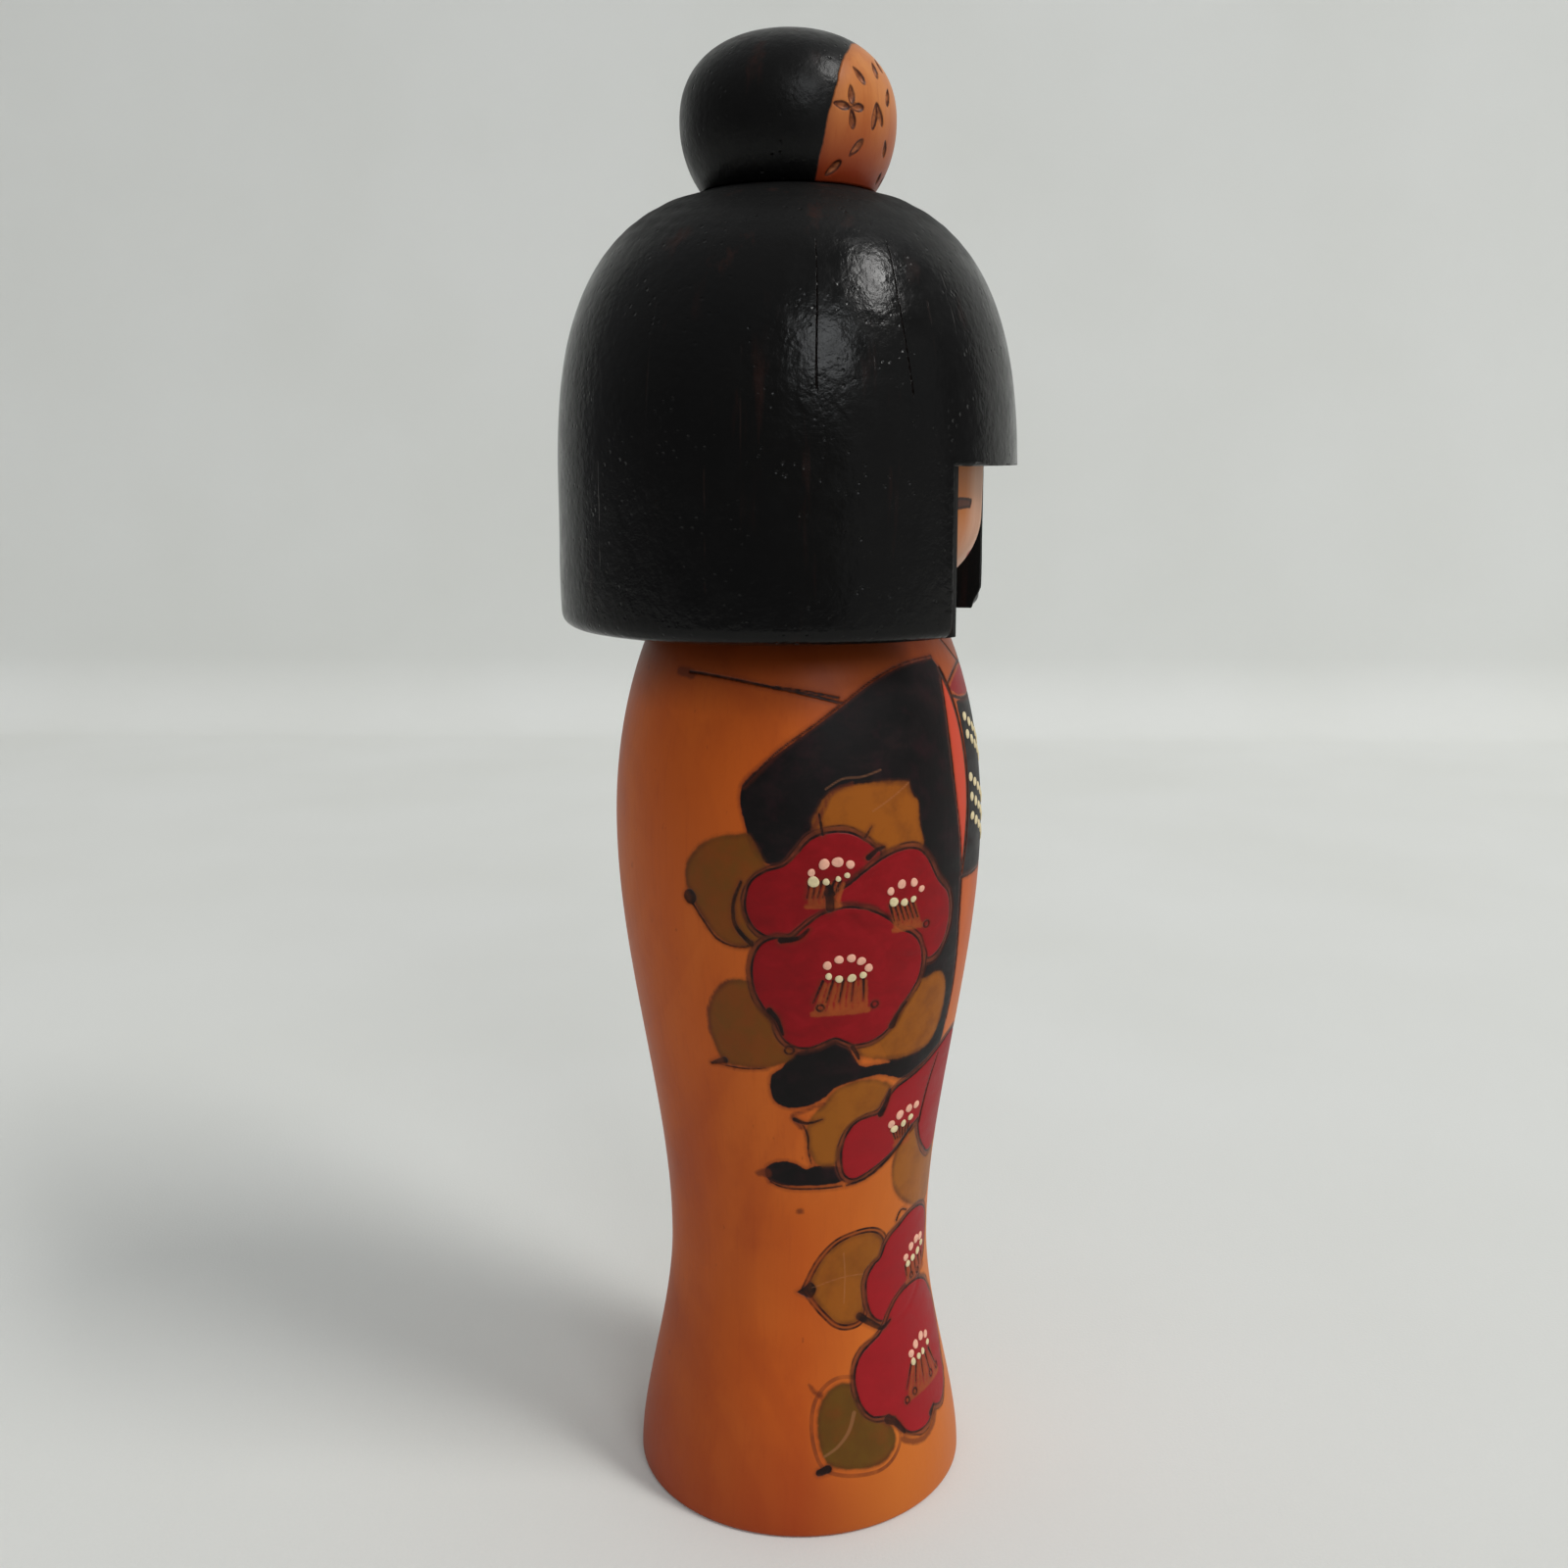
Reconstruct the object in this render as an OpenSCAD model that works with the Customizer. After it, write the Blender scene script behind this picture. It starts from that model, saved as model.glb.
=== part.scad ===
// Kokeshi doll: a turned body, and a bob-haired head that swivels on a neck peg.
// Millimetres, +Z up. The origin is the centre of the foot, and the doll faces -Y.

/* [Body] */
// Diameter of the foot
foot_d = 72.4; // [66:0.2:80]
// Radius of the worn edge under the foot
foot_edge = 1; // [0.5:0.25:2]
// Diameter of the waist
waist_d = 57; // [50:1:60]
// Height of the waist
waist_z = 54; // [48:0.5:64]
// Diameter of the shoulders
shoulder_d = 77.2; // [72:0.2:82]
// Height at which the shoulders are widest
shoulder_z = 147; // [138:1:152]
// Height of the body's flat top
body_h = 195.8; // [190:0.1:198]

/* [Head] */
// Diameter of the turned ball that carries the face
face_d = 79.2; // [74:0.2:80]
// Height of the face ball
face_h = 56; // [50:1:58]
// Radius of its chin and crown
chin_r = 15.4; // [8:0.2:18]
// Gap between the body's top and the head
head_lift = 0.2; // [0.1:0.1:1]
// How far the head's axis stands behind the body's axis
head_back = 2.2; // [0:0.1:4]

/* [Hair] */
// Largest diameter of the hair
hair_d = 93.2; // [90:0.2:96]
// Height of the hair's lower rim
hair_rim_z = 189; // [186:0.5:191]
// Height at which the dome of the hair begins
dome_z = 212; // [206:1:218]
// Height of the dome above that
dome_h = 62.4; // [61.5:0.1:66]
// Radius of the rounded edge at the rim
rim_edge = 3; // [2:0.5:5]
// Depth of the face window, from the head's axis to the cut fronts of the side locks
lock_front = 37.2; // [34:0.2:39]
// Width of the face window between the side locks
window_w = 45; // [36:1:50]
// Height of the fringe's lower edge
fringe_z = 220.8; // [214:0.2:226]

/* [Bun] */
// Diameter of the bun
bun_d = 42.5; // [38:0.5:46]
// Height of the bun's widest part
bun_z = 286.2; // [284:0.2:290]
// Height of the bun above its widest part
bun_rise = 16.8; // [14:0.2:20]
// Depth to which the bun's underside would close below its widest part
bun_drop = 21.5; // [20:0.5:26]
// Height of the flat seat on top of the hair
seat_z = 273.3; // [270:0.1:273.6]
// How far the bun's axis stands in front of the head's axis
bun_forward = 0.4; // [0:0.1:1]

/* [Pegs] */
// Diameter of the neck peg
neck_peg_d = 16; // [12:1:20]
// Depth of the neck peg in the head
neck_peg_up = 20; // [14:1:26]
// Depth of the neck peg in the body
neck_peg_down = 24; // [16:1:30]
// Radial clearance of the neck peg in the body, where it turns
neck_clearance = 0.05; // [0.02:0.01:0.1]
// Diameter of the bun peg
bun_peg_d = 8; // [6:1:10]
// Depth of the bun peg in the hair and in the bun
bun_peg_deep = 9; // [7:1:12]

/* [Hidden] */
$fn = 96;

steps = 26;            // straight steps along each turned curve
flare_power = 0.88;    // draws the flare of the body down towards the foot
shoulder_close = 68;   // height over which the shoulders would close to a point
shoulder_power = 2;    // squareness of the shoulders
dome_power = 2.87;     // squareness of the hair's dome
crown_power = 2.3;     // squareness of the bun's top
ball_gap = 0.3;        // glue gap between the face ball and the hair
end_gap = 0.5;         // room past the end of each peg
peg_chamfer = 1;       // lead-in at both ends of a peg
far = 60;              // reaches past the head on every side

foot_r = foot_d / 2;
waist_r = waist_d / 2;
shoulder_r = shoulder_d / 2;
face_r = face_d / 2;
hair_r = hair_d / 2;
bun_r = bun_d / 2;
head_z = body_h + head_lift;

// Points of a superellipse quarter, from its widest point to its tip.
function round_up(r, h, power, z0) =
    [for (i = [0:steps]) let (a = 90 * i / steps)
        [r * pow(cos(a), 2 / power), z0 + h * pow(sin(a), 2 / power)]];

// The same quarter, cut off flat at the height z_cut.
function round_up_to(r, h, power, z0, z_cut) =
    [for (i = [0:steps]) let (z = z0 + (z_cut - z0) * i / steps)
        [r * pow(1 - pow((z - z0) / h, power), 1 / power), z]];

function ease(t) = t * t * (3 - 2 * t);
function between(a, b, t) = a + (b - a) * ease(t);

// The flare from the foot up to the waist, and the swell from the waist to the shoulders.
flare = [for (i = [0:steps]) let (t = i / steps)
    [between(foot_r, waist_r, pow(t, flare_power)), foot_edge + (waist_z - foot_edge) * t]];
swell = [for (i = [1:steps - 1]) let (t = i / steps)
    [between(waist_r, shoulder_r, t), waist_z + (shoulder_z - waist_z) * t]];
shoulders = round_up_to(shoulder_r, shoulder_close, shoulder_power, shoulder_z, body_h);

module peg(d, z_low, z_high) {
    rotate_extrude() polygon([
        [0, z_low], [d / 2 - peg_chamfer, z_low], [d / 2, z_low + peg_chamfer],
        [d / 2, z_high - peg_chamfer], [d / 2 - peg_chamfer, z_high], [0, z_high]]);
}

module head_frame() {
    translate([0, head_back, 0]) children();
}

module body() {
    color("chocolate") difference() {
        rotate_extrude() polygon(concat(
            [[0, 0], [foot_r - foot_edge, 0]],
            flare, swell, shoulders, [[0, body_h]]));
        translate([0, 0, body_h - neck_peg_down - end_gap])
            cylinder(r = neck_peg_d / 2 + neck_clearance, h = neck_peg_down + far);
    }
}

module neck_peg() {
    color("burlywood")
        peg(neck_peg_d, body_h - neck_peg_down, head_z + neck_peg_up);
}

// Half outline of the drum with rounded edges from which the face ball is turned.
module ball_outline(r, z_low, z_high) {
    translate([0, z_low]) square([r - chin_r, z_high - z_low]);
    translate([0, z_low + chin_r]) square([r, z_high - z_low - 2 * chin_r]);
    for (z = [z_low + chin_r, z_high - chin_r])
        translate([r - chin_r, z]) circle(chin_r);
}

module face_ball() {
    color("sandybrown") difference() {
        head_frame() rotate_extrude() ball_outline(face_r, head_z, head_z + face_h);
        translate([0, 0, head_z - 1])
            cylinder(d = neck_peg_d, h = neck_peg_up + end_gap + 1);
    }
}

module hair_outline() {
    difference() {
        union() {
            polygon(concat([[0, dome_z]],
                round_up_to(hair_r, dome_h, dome_power, dome_z, seat_z), [[0, seat_z]]));
            translate([0, hair_rim_z + rim_edge])
                square([hair_r, dome_z - hair_rim_z - rim_edge]);
            translate([0, hair_rim_z]) square([hair_r - rim_edge, dome_z - hair_rim_z]);
            translate([hair_r - rim_edge, hair_rim_z + rim_edge]) circle(rim_edge);
        }
        translate([0, hair_rim_z - 1])
            square([face_r + ball_gap, head_z + face_h - chin_r - hair_rim_z + 1]);
        ball_outline(face_r + ball_gap, head_z, head_z + face_h);
    }
}

module face_window() {
    window_h = fringe_z - hair_rim_z + 1;
    translate([-far, -far, hair_rim_z - 1]) cube([2 * far, far - lock_front, window_h]);
    translate([-window_w / 2, -far, hair_rim_z - 1]) cube([window_w, far, window_h]);
}

module hair() {
    color("black") head_frame() difference() {
        rotate_extrude() hair_outline();
        face_window();
        translate([0, -bun_forward, seat_z - bun_peg_deep - end_gap])
            cylinder(d = bun_peg_d, h = bun_peg_deep + far);
    }
}

module bun_frame() {
    translate([0, head_back - bun_forward, 0]) children();
}

module bun_peg() {
    color("burlywood") bun_frame()
        peg(bun_peg_d, seat_z - bun_peg_deep, seat_z + bun_peg_deep);
}

module bun() {
    underside = [for (i = [0:steps]) let (z = seat_z + (bun_z - seat_z) * i / steps)
        [bun_r * sqrt(1 - pow((bun_z - z) / bun_drop, 2)), z]];
    color("black") bun_frame() difference() {
        rotate_extrude() polygon(concat(
            [[0, seat_z]], underside, round_up(bun_r, bun_rise, crown_power, bun_z)));
        translate([0, 0, seat_z - 1])
            cylinder(d = bun_peg_d, h = bun_peg_deep + end_gap + 1);
    }
}

body();
neck_peg();
face_ball();
hair();
bun_peg();
bun();
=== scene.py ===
"""Looks of a kokeshi doll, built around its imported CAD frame.

Metres in Blender, millimetres in this script's own sizes. The doll faces -Y and +X is its left hand.
A place on a turned surface is (turn, height): turn in degrees from the front towards the doll's right.
"""

import math

import bmesh
import bpy
import numpy as np
from mathutils import Matrix, Quaternion, Vector


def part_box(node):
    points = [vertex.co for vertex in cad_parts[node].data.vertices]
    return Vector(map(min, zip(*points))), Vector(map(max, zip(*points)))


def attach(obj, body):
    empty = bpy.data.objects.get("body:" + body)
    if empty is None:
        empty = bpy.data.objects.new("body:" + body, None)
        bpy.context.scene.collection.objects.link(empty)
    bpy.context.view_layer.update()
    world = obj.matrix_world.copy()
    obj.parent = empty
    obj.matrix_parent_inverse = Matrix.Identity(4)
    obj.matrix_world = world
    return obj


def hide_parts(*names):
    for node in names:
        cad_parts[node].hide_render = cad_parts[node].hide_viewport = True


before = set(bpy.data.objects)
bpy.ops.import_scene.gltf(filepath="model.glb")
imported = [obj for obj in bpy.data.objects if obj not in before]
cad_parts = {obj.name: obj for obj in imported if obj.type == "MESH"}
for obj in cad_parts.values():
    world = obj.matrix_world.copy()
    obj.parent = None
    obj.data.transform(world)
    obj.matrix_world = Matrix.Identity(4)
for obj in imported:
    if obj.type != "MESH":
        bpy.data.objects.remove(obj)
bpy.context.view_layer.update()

MM = 0.001
FAR = 4.0  # mm, distance beyond which a painted shape is of no interest


# ---------------------------------------------------------------- sizes read off the frame

def read(vertices, field):
    values = np.empty(len(vertices) * 3, np.float32)
    vertices.foreach_get(field, values)
    return values.reshape(-1, 3).astype(float)


def node_points(node):
    """Places and normals of a CAD node's vertices, in millimetres."""
    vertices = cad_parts[node].data.vertices
    return read(vertices, "co") / MM, read(vertices, "normal")


def middle_y(node):
    low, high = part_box(node)
    return (low.y + high.y) / 2 / MM


def outer_profile(node, axis_y=0.0):
    """Heights and radii of the outside of a turned node, from its foot to its top."""
    at, normal = node_points(node)
    across = at[:, :2] - (0, axis_y)
    radius = np.hypot(across[:, 0], across[:, 1])
    outward = (normal[:, :2] * across).sum(1) > 0.05 * radius
    keep = outward & (at[:, 1] > axis_y)
    at, radius = at[keep], radius[keep]
    heights = np.unique(at[:, 2].round(2))
    return heights, np.array([radius[abs(at[:, 2] - h) < 0.02].max() for h in heights])


def curve_through(xs, ys, x):
    """Smooth curve through the points (xs, ys), read at x."""
    slopes = np.gradient(ys, xs)
    i = np.clip(np.searchsorted(xs, x) - 1, 0, len(xs) - 2)
    step = xs[i + 1] - xs[i]
    t = (x - xs[i]) / step
    ease = t * t * (3 - 2 * t)
    bend = (t - 1) * t * ((t - 1) * slopes[i] + t * slopes[i + 1]) * step
    return ys[i] * (1 - ease) + ys[i + 1] * ease + bend


HEAD_Y = middle_y("face_ball")
BUN_Y = middle_y("bun")


# ---------------------------------------------------------------- painting on a turned surface

def spline(points, closed, steps=6):
    """Smooth curve through given points. A point given twice is a corner."""
    p = np.array(points, float)
    if closed:
        p = np.vstack([p[-1], p, p[:2]])
    else:
        p = np.vstack([p[0], p, p[-1]])
    out = []
    for a, b, c, d in zip(p, p[1:], p[2:], p[3:]):
        if np.allclose(b, c):
            continue
        for t in np.arange(steps) / steps:
            out.append(b + 0.5 * t * (c - a + t * (2 * a - 5 * b + 4 * c - d + t * (3 * b - a - 3 * c + d))))
    if not closed:
        out.append(p[-2])
    return np.array(out)


class Canvas:
    """Signed distances, in mm, from the points of a turned surface to what is drawn on it."""

    def __init__(self, turns, heights, profile, layers):
        self.turns, self.heights, self.profile = turns, heights, profile
        self.arcs = np.radians(np.interp(heights, *profile))  # mm of arc for each degree
        self.layers = {name: np.full(len(turns), FAR) for name in layers}
        self.tone = np.zeros(len(turns))
        self.mirror, self.turn, self.lift = 1, 0.0, 0.0

    def draw_at(self, mirror=1, turn=0.0, lift=0.0):
        """Draw from now on with places moved, or mirrored to the doll's left side."""
        self.mirror, self.turn, self.lift = mirror, turn, lift

    def placed(self, points):
        return [(self.mirror * (p[0] + self.turn), p[1] + self.lift, *p[2:]) for p in points]

    def distance(self, points, closed=True, widths=(0.0, 0.0)):
        """Distance to an outline, negative inside it, or to an open stroke of the given widths."""
        points = self.placed(points)
        p = spline(points, closed) if len(points) > 2 else np.array(points, float)
        centre = p[:, 0].mean()
        px = (p[:, 0] - centre) * np.radians(np.interp(p[:, 1], *self.profile))
        pz = p[:, 1]
        x = (self.turns - centre) * self.arcs
        near = (self.heights > pz.min() - FAR) & (self.heights < pz.max() + FAR)
        near &= (x > px.min() - FAR) & (x < px.max() + FAR)
        x, z = x[near], self.heights[near]
        best = np.full(len(x), FAR)
        inside = np.zeros(len(x), bool)
        last = len(p) if closed else len(p) - 1
        for i in range(last):
            j = (i + 1) % len(p)
            dx, dz = px[j] - px[i], pz[j] - pz[i]
            along = np.clip(((x - px[i]) * dx + (z - pz[i]) * dz) / (dx * dx + dz * dz + 1e-12), 0, 1)
            half = (widths[0] + (widths[1] - widths[0]) * (i + along) / last) / 2
            best = np.minimum(best, np.hypot(x - px[i] - along * dx, z - pz[i] - along * dz) - half)
            if closed and dz:
                inside ^= ((pz[i] > z) != (pz[j] > z)) & (x < px[i] + dx * (z - pz[i]) / dz)
        out = np.full(len(self.turns), FAR)
        out[near] = np.where(inside, -best, best)
        return out

    def fill(self, layer, distance):
        self.layers[layer] = np.minimum(self.layers[layer], distance)

    def area(self, layer, points):
        """Fill an outline, and return the distance to it."""
        d = self.distance(points)
        self.fill(layer, d)
        return d

    def erase(self, names, distance):
        for name in names:
            self.layers[name] = np.maximum(self.layers[name], -distance)

    def stroke(self, layer, points, start, end=None):
        self.fill(layer, self.distance(points, False, (start, start if end is None else end)))

    def burn(self, points, start, end=None):
        self.stroke("burn", points, start, end)

    def nearest(self, names):
        """Distance to the nearest painted edge of the named layers."""
        return np.min([abs(self.layers[name]) for name in names], axis=0)


def grid_canvas(turns, heights, radii, layers):
    turn, height = np.meshgrid(turns, heights)
    return Canvas(turn.ravel(), height.ravel(), (heights, radii), layers)


# ---------------------------------------------------------------- meshes

def ring_angles(dense_from, dense_to, fine, coarse):
    """Turns round a lathe grid from -180 up to 180, finer between two of them."""
    parts = [
        np.linspace(-180, dense_from, round((dense_from + 180) / coarse), endpoint=False),
        np.linspace(dense_from, dense_to, round((dense_to - dense_from) / fine), endpoint=False),
        np.linspace(dense_to, 180, round((180 - dense_to) / coarse), endpoint=False),
    ]
    return np.concatenate(parts)


def grid_faces(rows, cols):
    """Quads of a grid that closes on itself sideways, wound to face outwards."""
    r, c = np.meshgrid(np.arange(rows - 1), np.arange(cols), indexing="ij")
    after = (c + 1) % cols
    quads = np.stack([r * cols + c, (r + 1) * cols + c, (r + 1) * cols + after, r * cols + after], -1)
    return quads.reshape(-1, 4).tolist()


def capped_faces(rows, cols):
    """Quads of a closed grid, with its first and last row each closed by one face."""
    faces = grid_faces(rows, cols)
    faces.append(list(range(cols)))
    faces.append(list(range((rows - 1) * cols, rows * cols))[::-1])
    return faces


def add_piece(name, points_mm, faces, material, body, replaced=()):
    mesh = bpy.data.meshes.new(name)
    mesh.from_pydata((np.reshape(points_mm, (-1, 3)) * MM).tolist(), [], faces)
    mesh.polygons.foreach_set("use_smooth", [True] * len(mesh.polygons))
    mesh.validate()
    mesh.update()
    piece = bpy.data.objects.new(name, mesh)
    bpy.context.scene.collection.objects.link(piece)
    mesh.materials.append(material)
    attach(piece, body)
    if replaced:
        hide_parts(*replaced)
    return piece


def refined_sheet(turns, heights, wishes):
    """A sheet of quads over (turn, height), halved wherever each wish in turn asks for it."""
    sheet = bmesh.new()
    cols = len(turns)
    dots = [sheet.verts.new((t, z, 0)) for z in heights for t in turns]
    for row in range(len(heights) - 1):
        for c in range(cols - 1):
            i = row * cols + c
            sheet.faces.new((dots[i], dots[i + cols], dots[i + cols + 1], dots[i + 1]))
    for wish in wishes:
        at = np.array([v.co[:2] for v in sheet.verts])
        wanted = wish(at[:, 0], at[:, 1])
        sheet.verts.index_update()
        edges = [e for e in sheet.edges if wanted[e.verts[0].index] or wanted[e.verts[1].index]]
        bmesh.ops.subdivide_edges(sheet, edges=edges, cuts=1, use_grid_fill=True)
    sheet.verts.index_update()
    at = np.array([v.co[:2] for v in sheet.verts])
    faces = [[v.index for v in face.verts] for face in sheet.faces]
    sheet.free()
    return at[:, 0], at[:, 1], faces


def joined(blocks):
    """Points and faces of several (points, faces) blocks as one list each."""
    points, faces = [], []
    for block_points, block_faces in blocks:
        start = sum(len(p) for p in points)
        points.append(np.reshape(block_points, (-1, 3)))
        faces += [[start + i for i in face] for face in block_faces]
    return np.concatenate(points), faces


def weld(piece, distance_mm=0.004):
    """Join points that meet, and drop faces that have come to nothing."""
    mesh = bmesh.new()
    mesh.from_mesh(piece.data)
    bmesh.ops.remove_doubles(mesh, verts=mesh.verts, dist=distance_mm * MM)
    bmesh.ops.dissolve_degenerate(mesh, edges=mesh.edges, dist=0.0005 * MM)
    bmesh.ops.delete(mesh, geom=[v for v in mesh.verts if not v.link_faces], context="VERTS")
    mesh.to_mesh(piece.data)
    mesh.free()


def set_layer(piece, name, values):
    layer = piece.data.attributes.new(name, "FLOAT", "POINT")
    layer.data.foreach_set("value", np.asarray(values, np.float32).ravel())


def set_rows(piece, name, shape, first, values):
    """A layer for a grid of the given shape, with values from its row first on, and FAR elsewhere."""
    whole = np.full(shape, FAR)
    whole[first:first + len(values)] = values
    set_layer(piece, name, whole)


def turned_points(turns, heights, radii, axis_y):
    """Points of a turned grid.

    Radii are one for each row or each point, and turns one for each column or each point.
    """
    shape = (len(heights), np.shape(turns)[-1])
    turn = np.broadcast_to(np.radians(turns), shape)
    radii = np.broadcast_to(np.asarray(radii).reshape(len(heights), -1), shape)
    z = np.broadcast_to(np.asarray(heights)[:, None], radii.shape)
    return np.stack([-radii * np.sin(turn), axis_y - radii * np.cos(turn), z], -1)


# ---------------------------------------------------------------- materials

def srgb(red, green, blue):
    """Linear colour from the 0 to 255 numbers a screen shows."""
    out = []
    for value in (red, green, blue):
        v = value / 255
        out.append(v / 12.92 if v <= 0.04045 else ((v + 0.055) / 1.055) ** 2.4)
    return (*out, 1.0)


class Shader:
    """A material and short ways to add nodes to it."""

    def __init__(self, name):
        self.material = bpy.data.materials.new(name)
        self.material.use_nodes = True
        self.tree = self.material.node_tree
        self.surface = self.tree.nodes["Principled BSDF"]
        self.place = self.add("ShaderNodeTexCoord").outputs["Object"]
        apart = self.add("ShaderNodeSeparateXYZ")
        self.put(apart.inputs[0], self.place)
        self.x, self.y, self.z = apart.outputs

    def add(self, kind, **settings):
        node = self.tree.nodes.new(kind)
        for key, value in settings.items():
            setattr(node, key, value)
        return node

    def put(self, socket, value):
        if isinstance(value, bpy.types.NodeSocket):
            self.tree.links.new(value, socket)
        elif socket.type == "RGBA" and len(value) == 3:
            socket.default_value = srgb(*value)
        else:
            socket.default_value = value

    def math(self, operation, a, b=0.0, c=0.0):
        node = self.add("ShaderNodeMath", operation=operation)
        for socket, value in zip(node.inputs, (a, b, c)):
            self.put(socket, value)
        return node.outputs[0]

    def times(self, a, b, plus=0.0):
        return self.math("MULTIPLY_ADD", a, b, plus)

    def plus(self, a, b):
        return self.math("ADD", a, b)

    def most(self, a, b):
        return self.math("MAXIMUM", a, b)

    def mix(self, amount, under, over):
        node = self.add("ShaderNodeMix", data_type="RGBA")
        self.put(node.inputs[0], amount)
        self.put(node.inputs[6], under)
        self.put(node.inputs[7], over)
        return node.outputs[2]

    def blend(self, amount, a, b):
        node = self.add("ShaderNodeMix", data_type="FLOAT")
        for socket, value in zip((node.inputs[0], node.inputs[2], node.inputs[3]), (amount, a, b)):
            self.put(socket, value)
        return node.outputs[0]

    def stretched(self, x, y, z):
        node = self.add("ShaderNodeMapping")
        self.put(node.inputs["Vector"], self.place)
        node.inputs["Scale"].default_value = (x, y, z)
        return node.outputs[0]

    def noise(self, vector, scale=1.0, detail=2.0, rough=0.5, warp=0.0):
        node = self.add("ShaderNodeTexNoise")
        self.put(node.inputs["Vector"], vector)
        for key, value in (("Scale", scale), ("Detail", detail), ("Roughness", rough), ("Distortion", warp)):
            node.inputs[key].default_value = value
        return node.outputs["Fac"]

    def noise_along(self, value, scale, detail=2.0):
        node = self.add("ShaderNodeTexNoise", noise_dimensions="1D")
        self.put(node.inputs["W"], value)
        node.inputs["Scale"].default_value = scale
        node.inputs["Detail"].default_value = detail
        return node.outputs["Fac"]

    def cells(self, vector, scale):
        node = self.add("ShaderNodeTexVoronoi")
        self.put(node.inputs["Vector"], vector)
        node.inputs["Scale"].default_value = scale
        return node.outputs["Distance"]

    def ramp(self, value, *stops):
        """Colour from a value, through (place, colour) stops."""
        node = self.add("ShaderNodeValToRGB")
        self.put(node.inputs[0], value)
        ends = node.color_ramp.elements
        while len(ends) < len(stops):
            ends.new(0.5)
        for end, (place, colour) in zip(ends, stops):
            end.position = place
            end.color = srgb(*colour)
        return node.outputs[0]

    def remap(self, value, low, high, to_low=0.0, to_high=1.0):
        node = self.add("ShaderNodeMapRange")
        for socket, number in zip(node.inputs, (value, low, high, to_low, to_high)):
            self.put(socket, number)
        return node.outputs[0]

    def layer(self, name):
        return self.add("ShaderNodeAttribute", attribute_name=name).outputs["Fac"]

    def mask(self, distance, edge=0.0, soft=0.2, wobble=None):
        """1 inside a painted shape and 0 outside it, from its layer's name or its distance in mm."""
        if isinstance(distance, str):
            distance = self.layer(distance)
        if wobble is not None:
            distance = self.plus(distance, wobble)
        return self.remap(distance, edge + soft / 2, edge - soft / 2)

    def line(self, distance, place, width):
        """1 along a line drawn at a distance from an edge."""
        if isinstance(distance, str):
            distance = self.layer(distance)
        away = self.math("ABSOLUTE", self.math("SUBTRACT", distance, place))
        return self.remap(away, width / 2 + 0.08, width / 2 - 0.12)

    def bump(self, height_mm, strength):
        node = self.add("ShaderNodeBump")
        node.inputs["Strength"].default_value = strength
        node.inputs["Distance"].default_value = MM
        self.put(node.inputs["Height"], height_mm)
        return node.outputs[0]

    def finish(self, colour, roughness, normal, specular=0.3):
        self.put(self.surface.inputs["Base Color"], colour)
        self.put(self.surface.inputs["Roughness"], roughness)
        self.put(self.surface.inputs["Normal"], normal)
        self.surface.inputs["Specular IOR Level"].default_value = specular
        return self.material


def wood_tone(s, pith_x, pith_y, ring_scale=330.0):
    """Growth rings round an off-centre pith, long fibres, and the uneven uptake of the stain."""
    offset = s.add("ShaderNodeVectorMath", operation="SUBTRACT")
    s.put(offset.inputs[0], s.stretched(1, 1, 0.06))
    offset.inputs[1].default_value = (pith_x * MM, pith_y * MM, 0)
    length = s.add("ShaderNodeVectorMath", operation="LENGTH")
    s.put(length.inputs[0], offset.outputs[0])
    sway = s.times(s.noise(s.stretched(18, 18, 7)), 0.004)
    rings = s.noise_along(s.plus(length.outputs["Value"], sway), ring_scale, 3.0)
    fibres = s.noise(s.stretched(900, 900, 22), detail=4.0, rough=0.65)
    clouds = s.noise(s.stretched(26, 26, 15), detail=3.0, rough=0.55, warp=0.6)
    return rings, fibres, clouds


# ---------------------------------------------------------------- the body's decoration

FILLS = (
    "ground", "panel", "lining", "leaf", "leaf_burnt", "leaf_brown", "collar", "petal_1", "petal_2",
    "petal_3")
STROKES = ("stamen", "scorch", "burn", "pale")
BORDER = 1.5  # mm, the burnt strip round a petal
LEFT_GROUP = (-1, -4, 3)  # mirror, turn and lift of the camellias on the doll's left sleeve


def add_leaf(canvas, points, tone, edge=None):
    """A leaf of flat pigment; its edge is soft, or drawn in one of the burnt styles."""
    d = canvas.distance(points)
    canvas.erase(STROKES, d)
    canvas.fill("leaf", d)
    canvas.tone = np.where(d < 2.0, tone, canvas.tone)
    if edge:
        canvas.fill(edge, d)


def add_flower(canvas, points, level):
    """A crimson flower inside its burnt border. A higher level lies on top of a lower one."""
    d = canvas.distance(points)
    canvas.erase(STROKES, d - BORDER)
    canvas.fill(f"petal_{level}", d)


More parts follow.
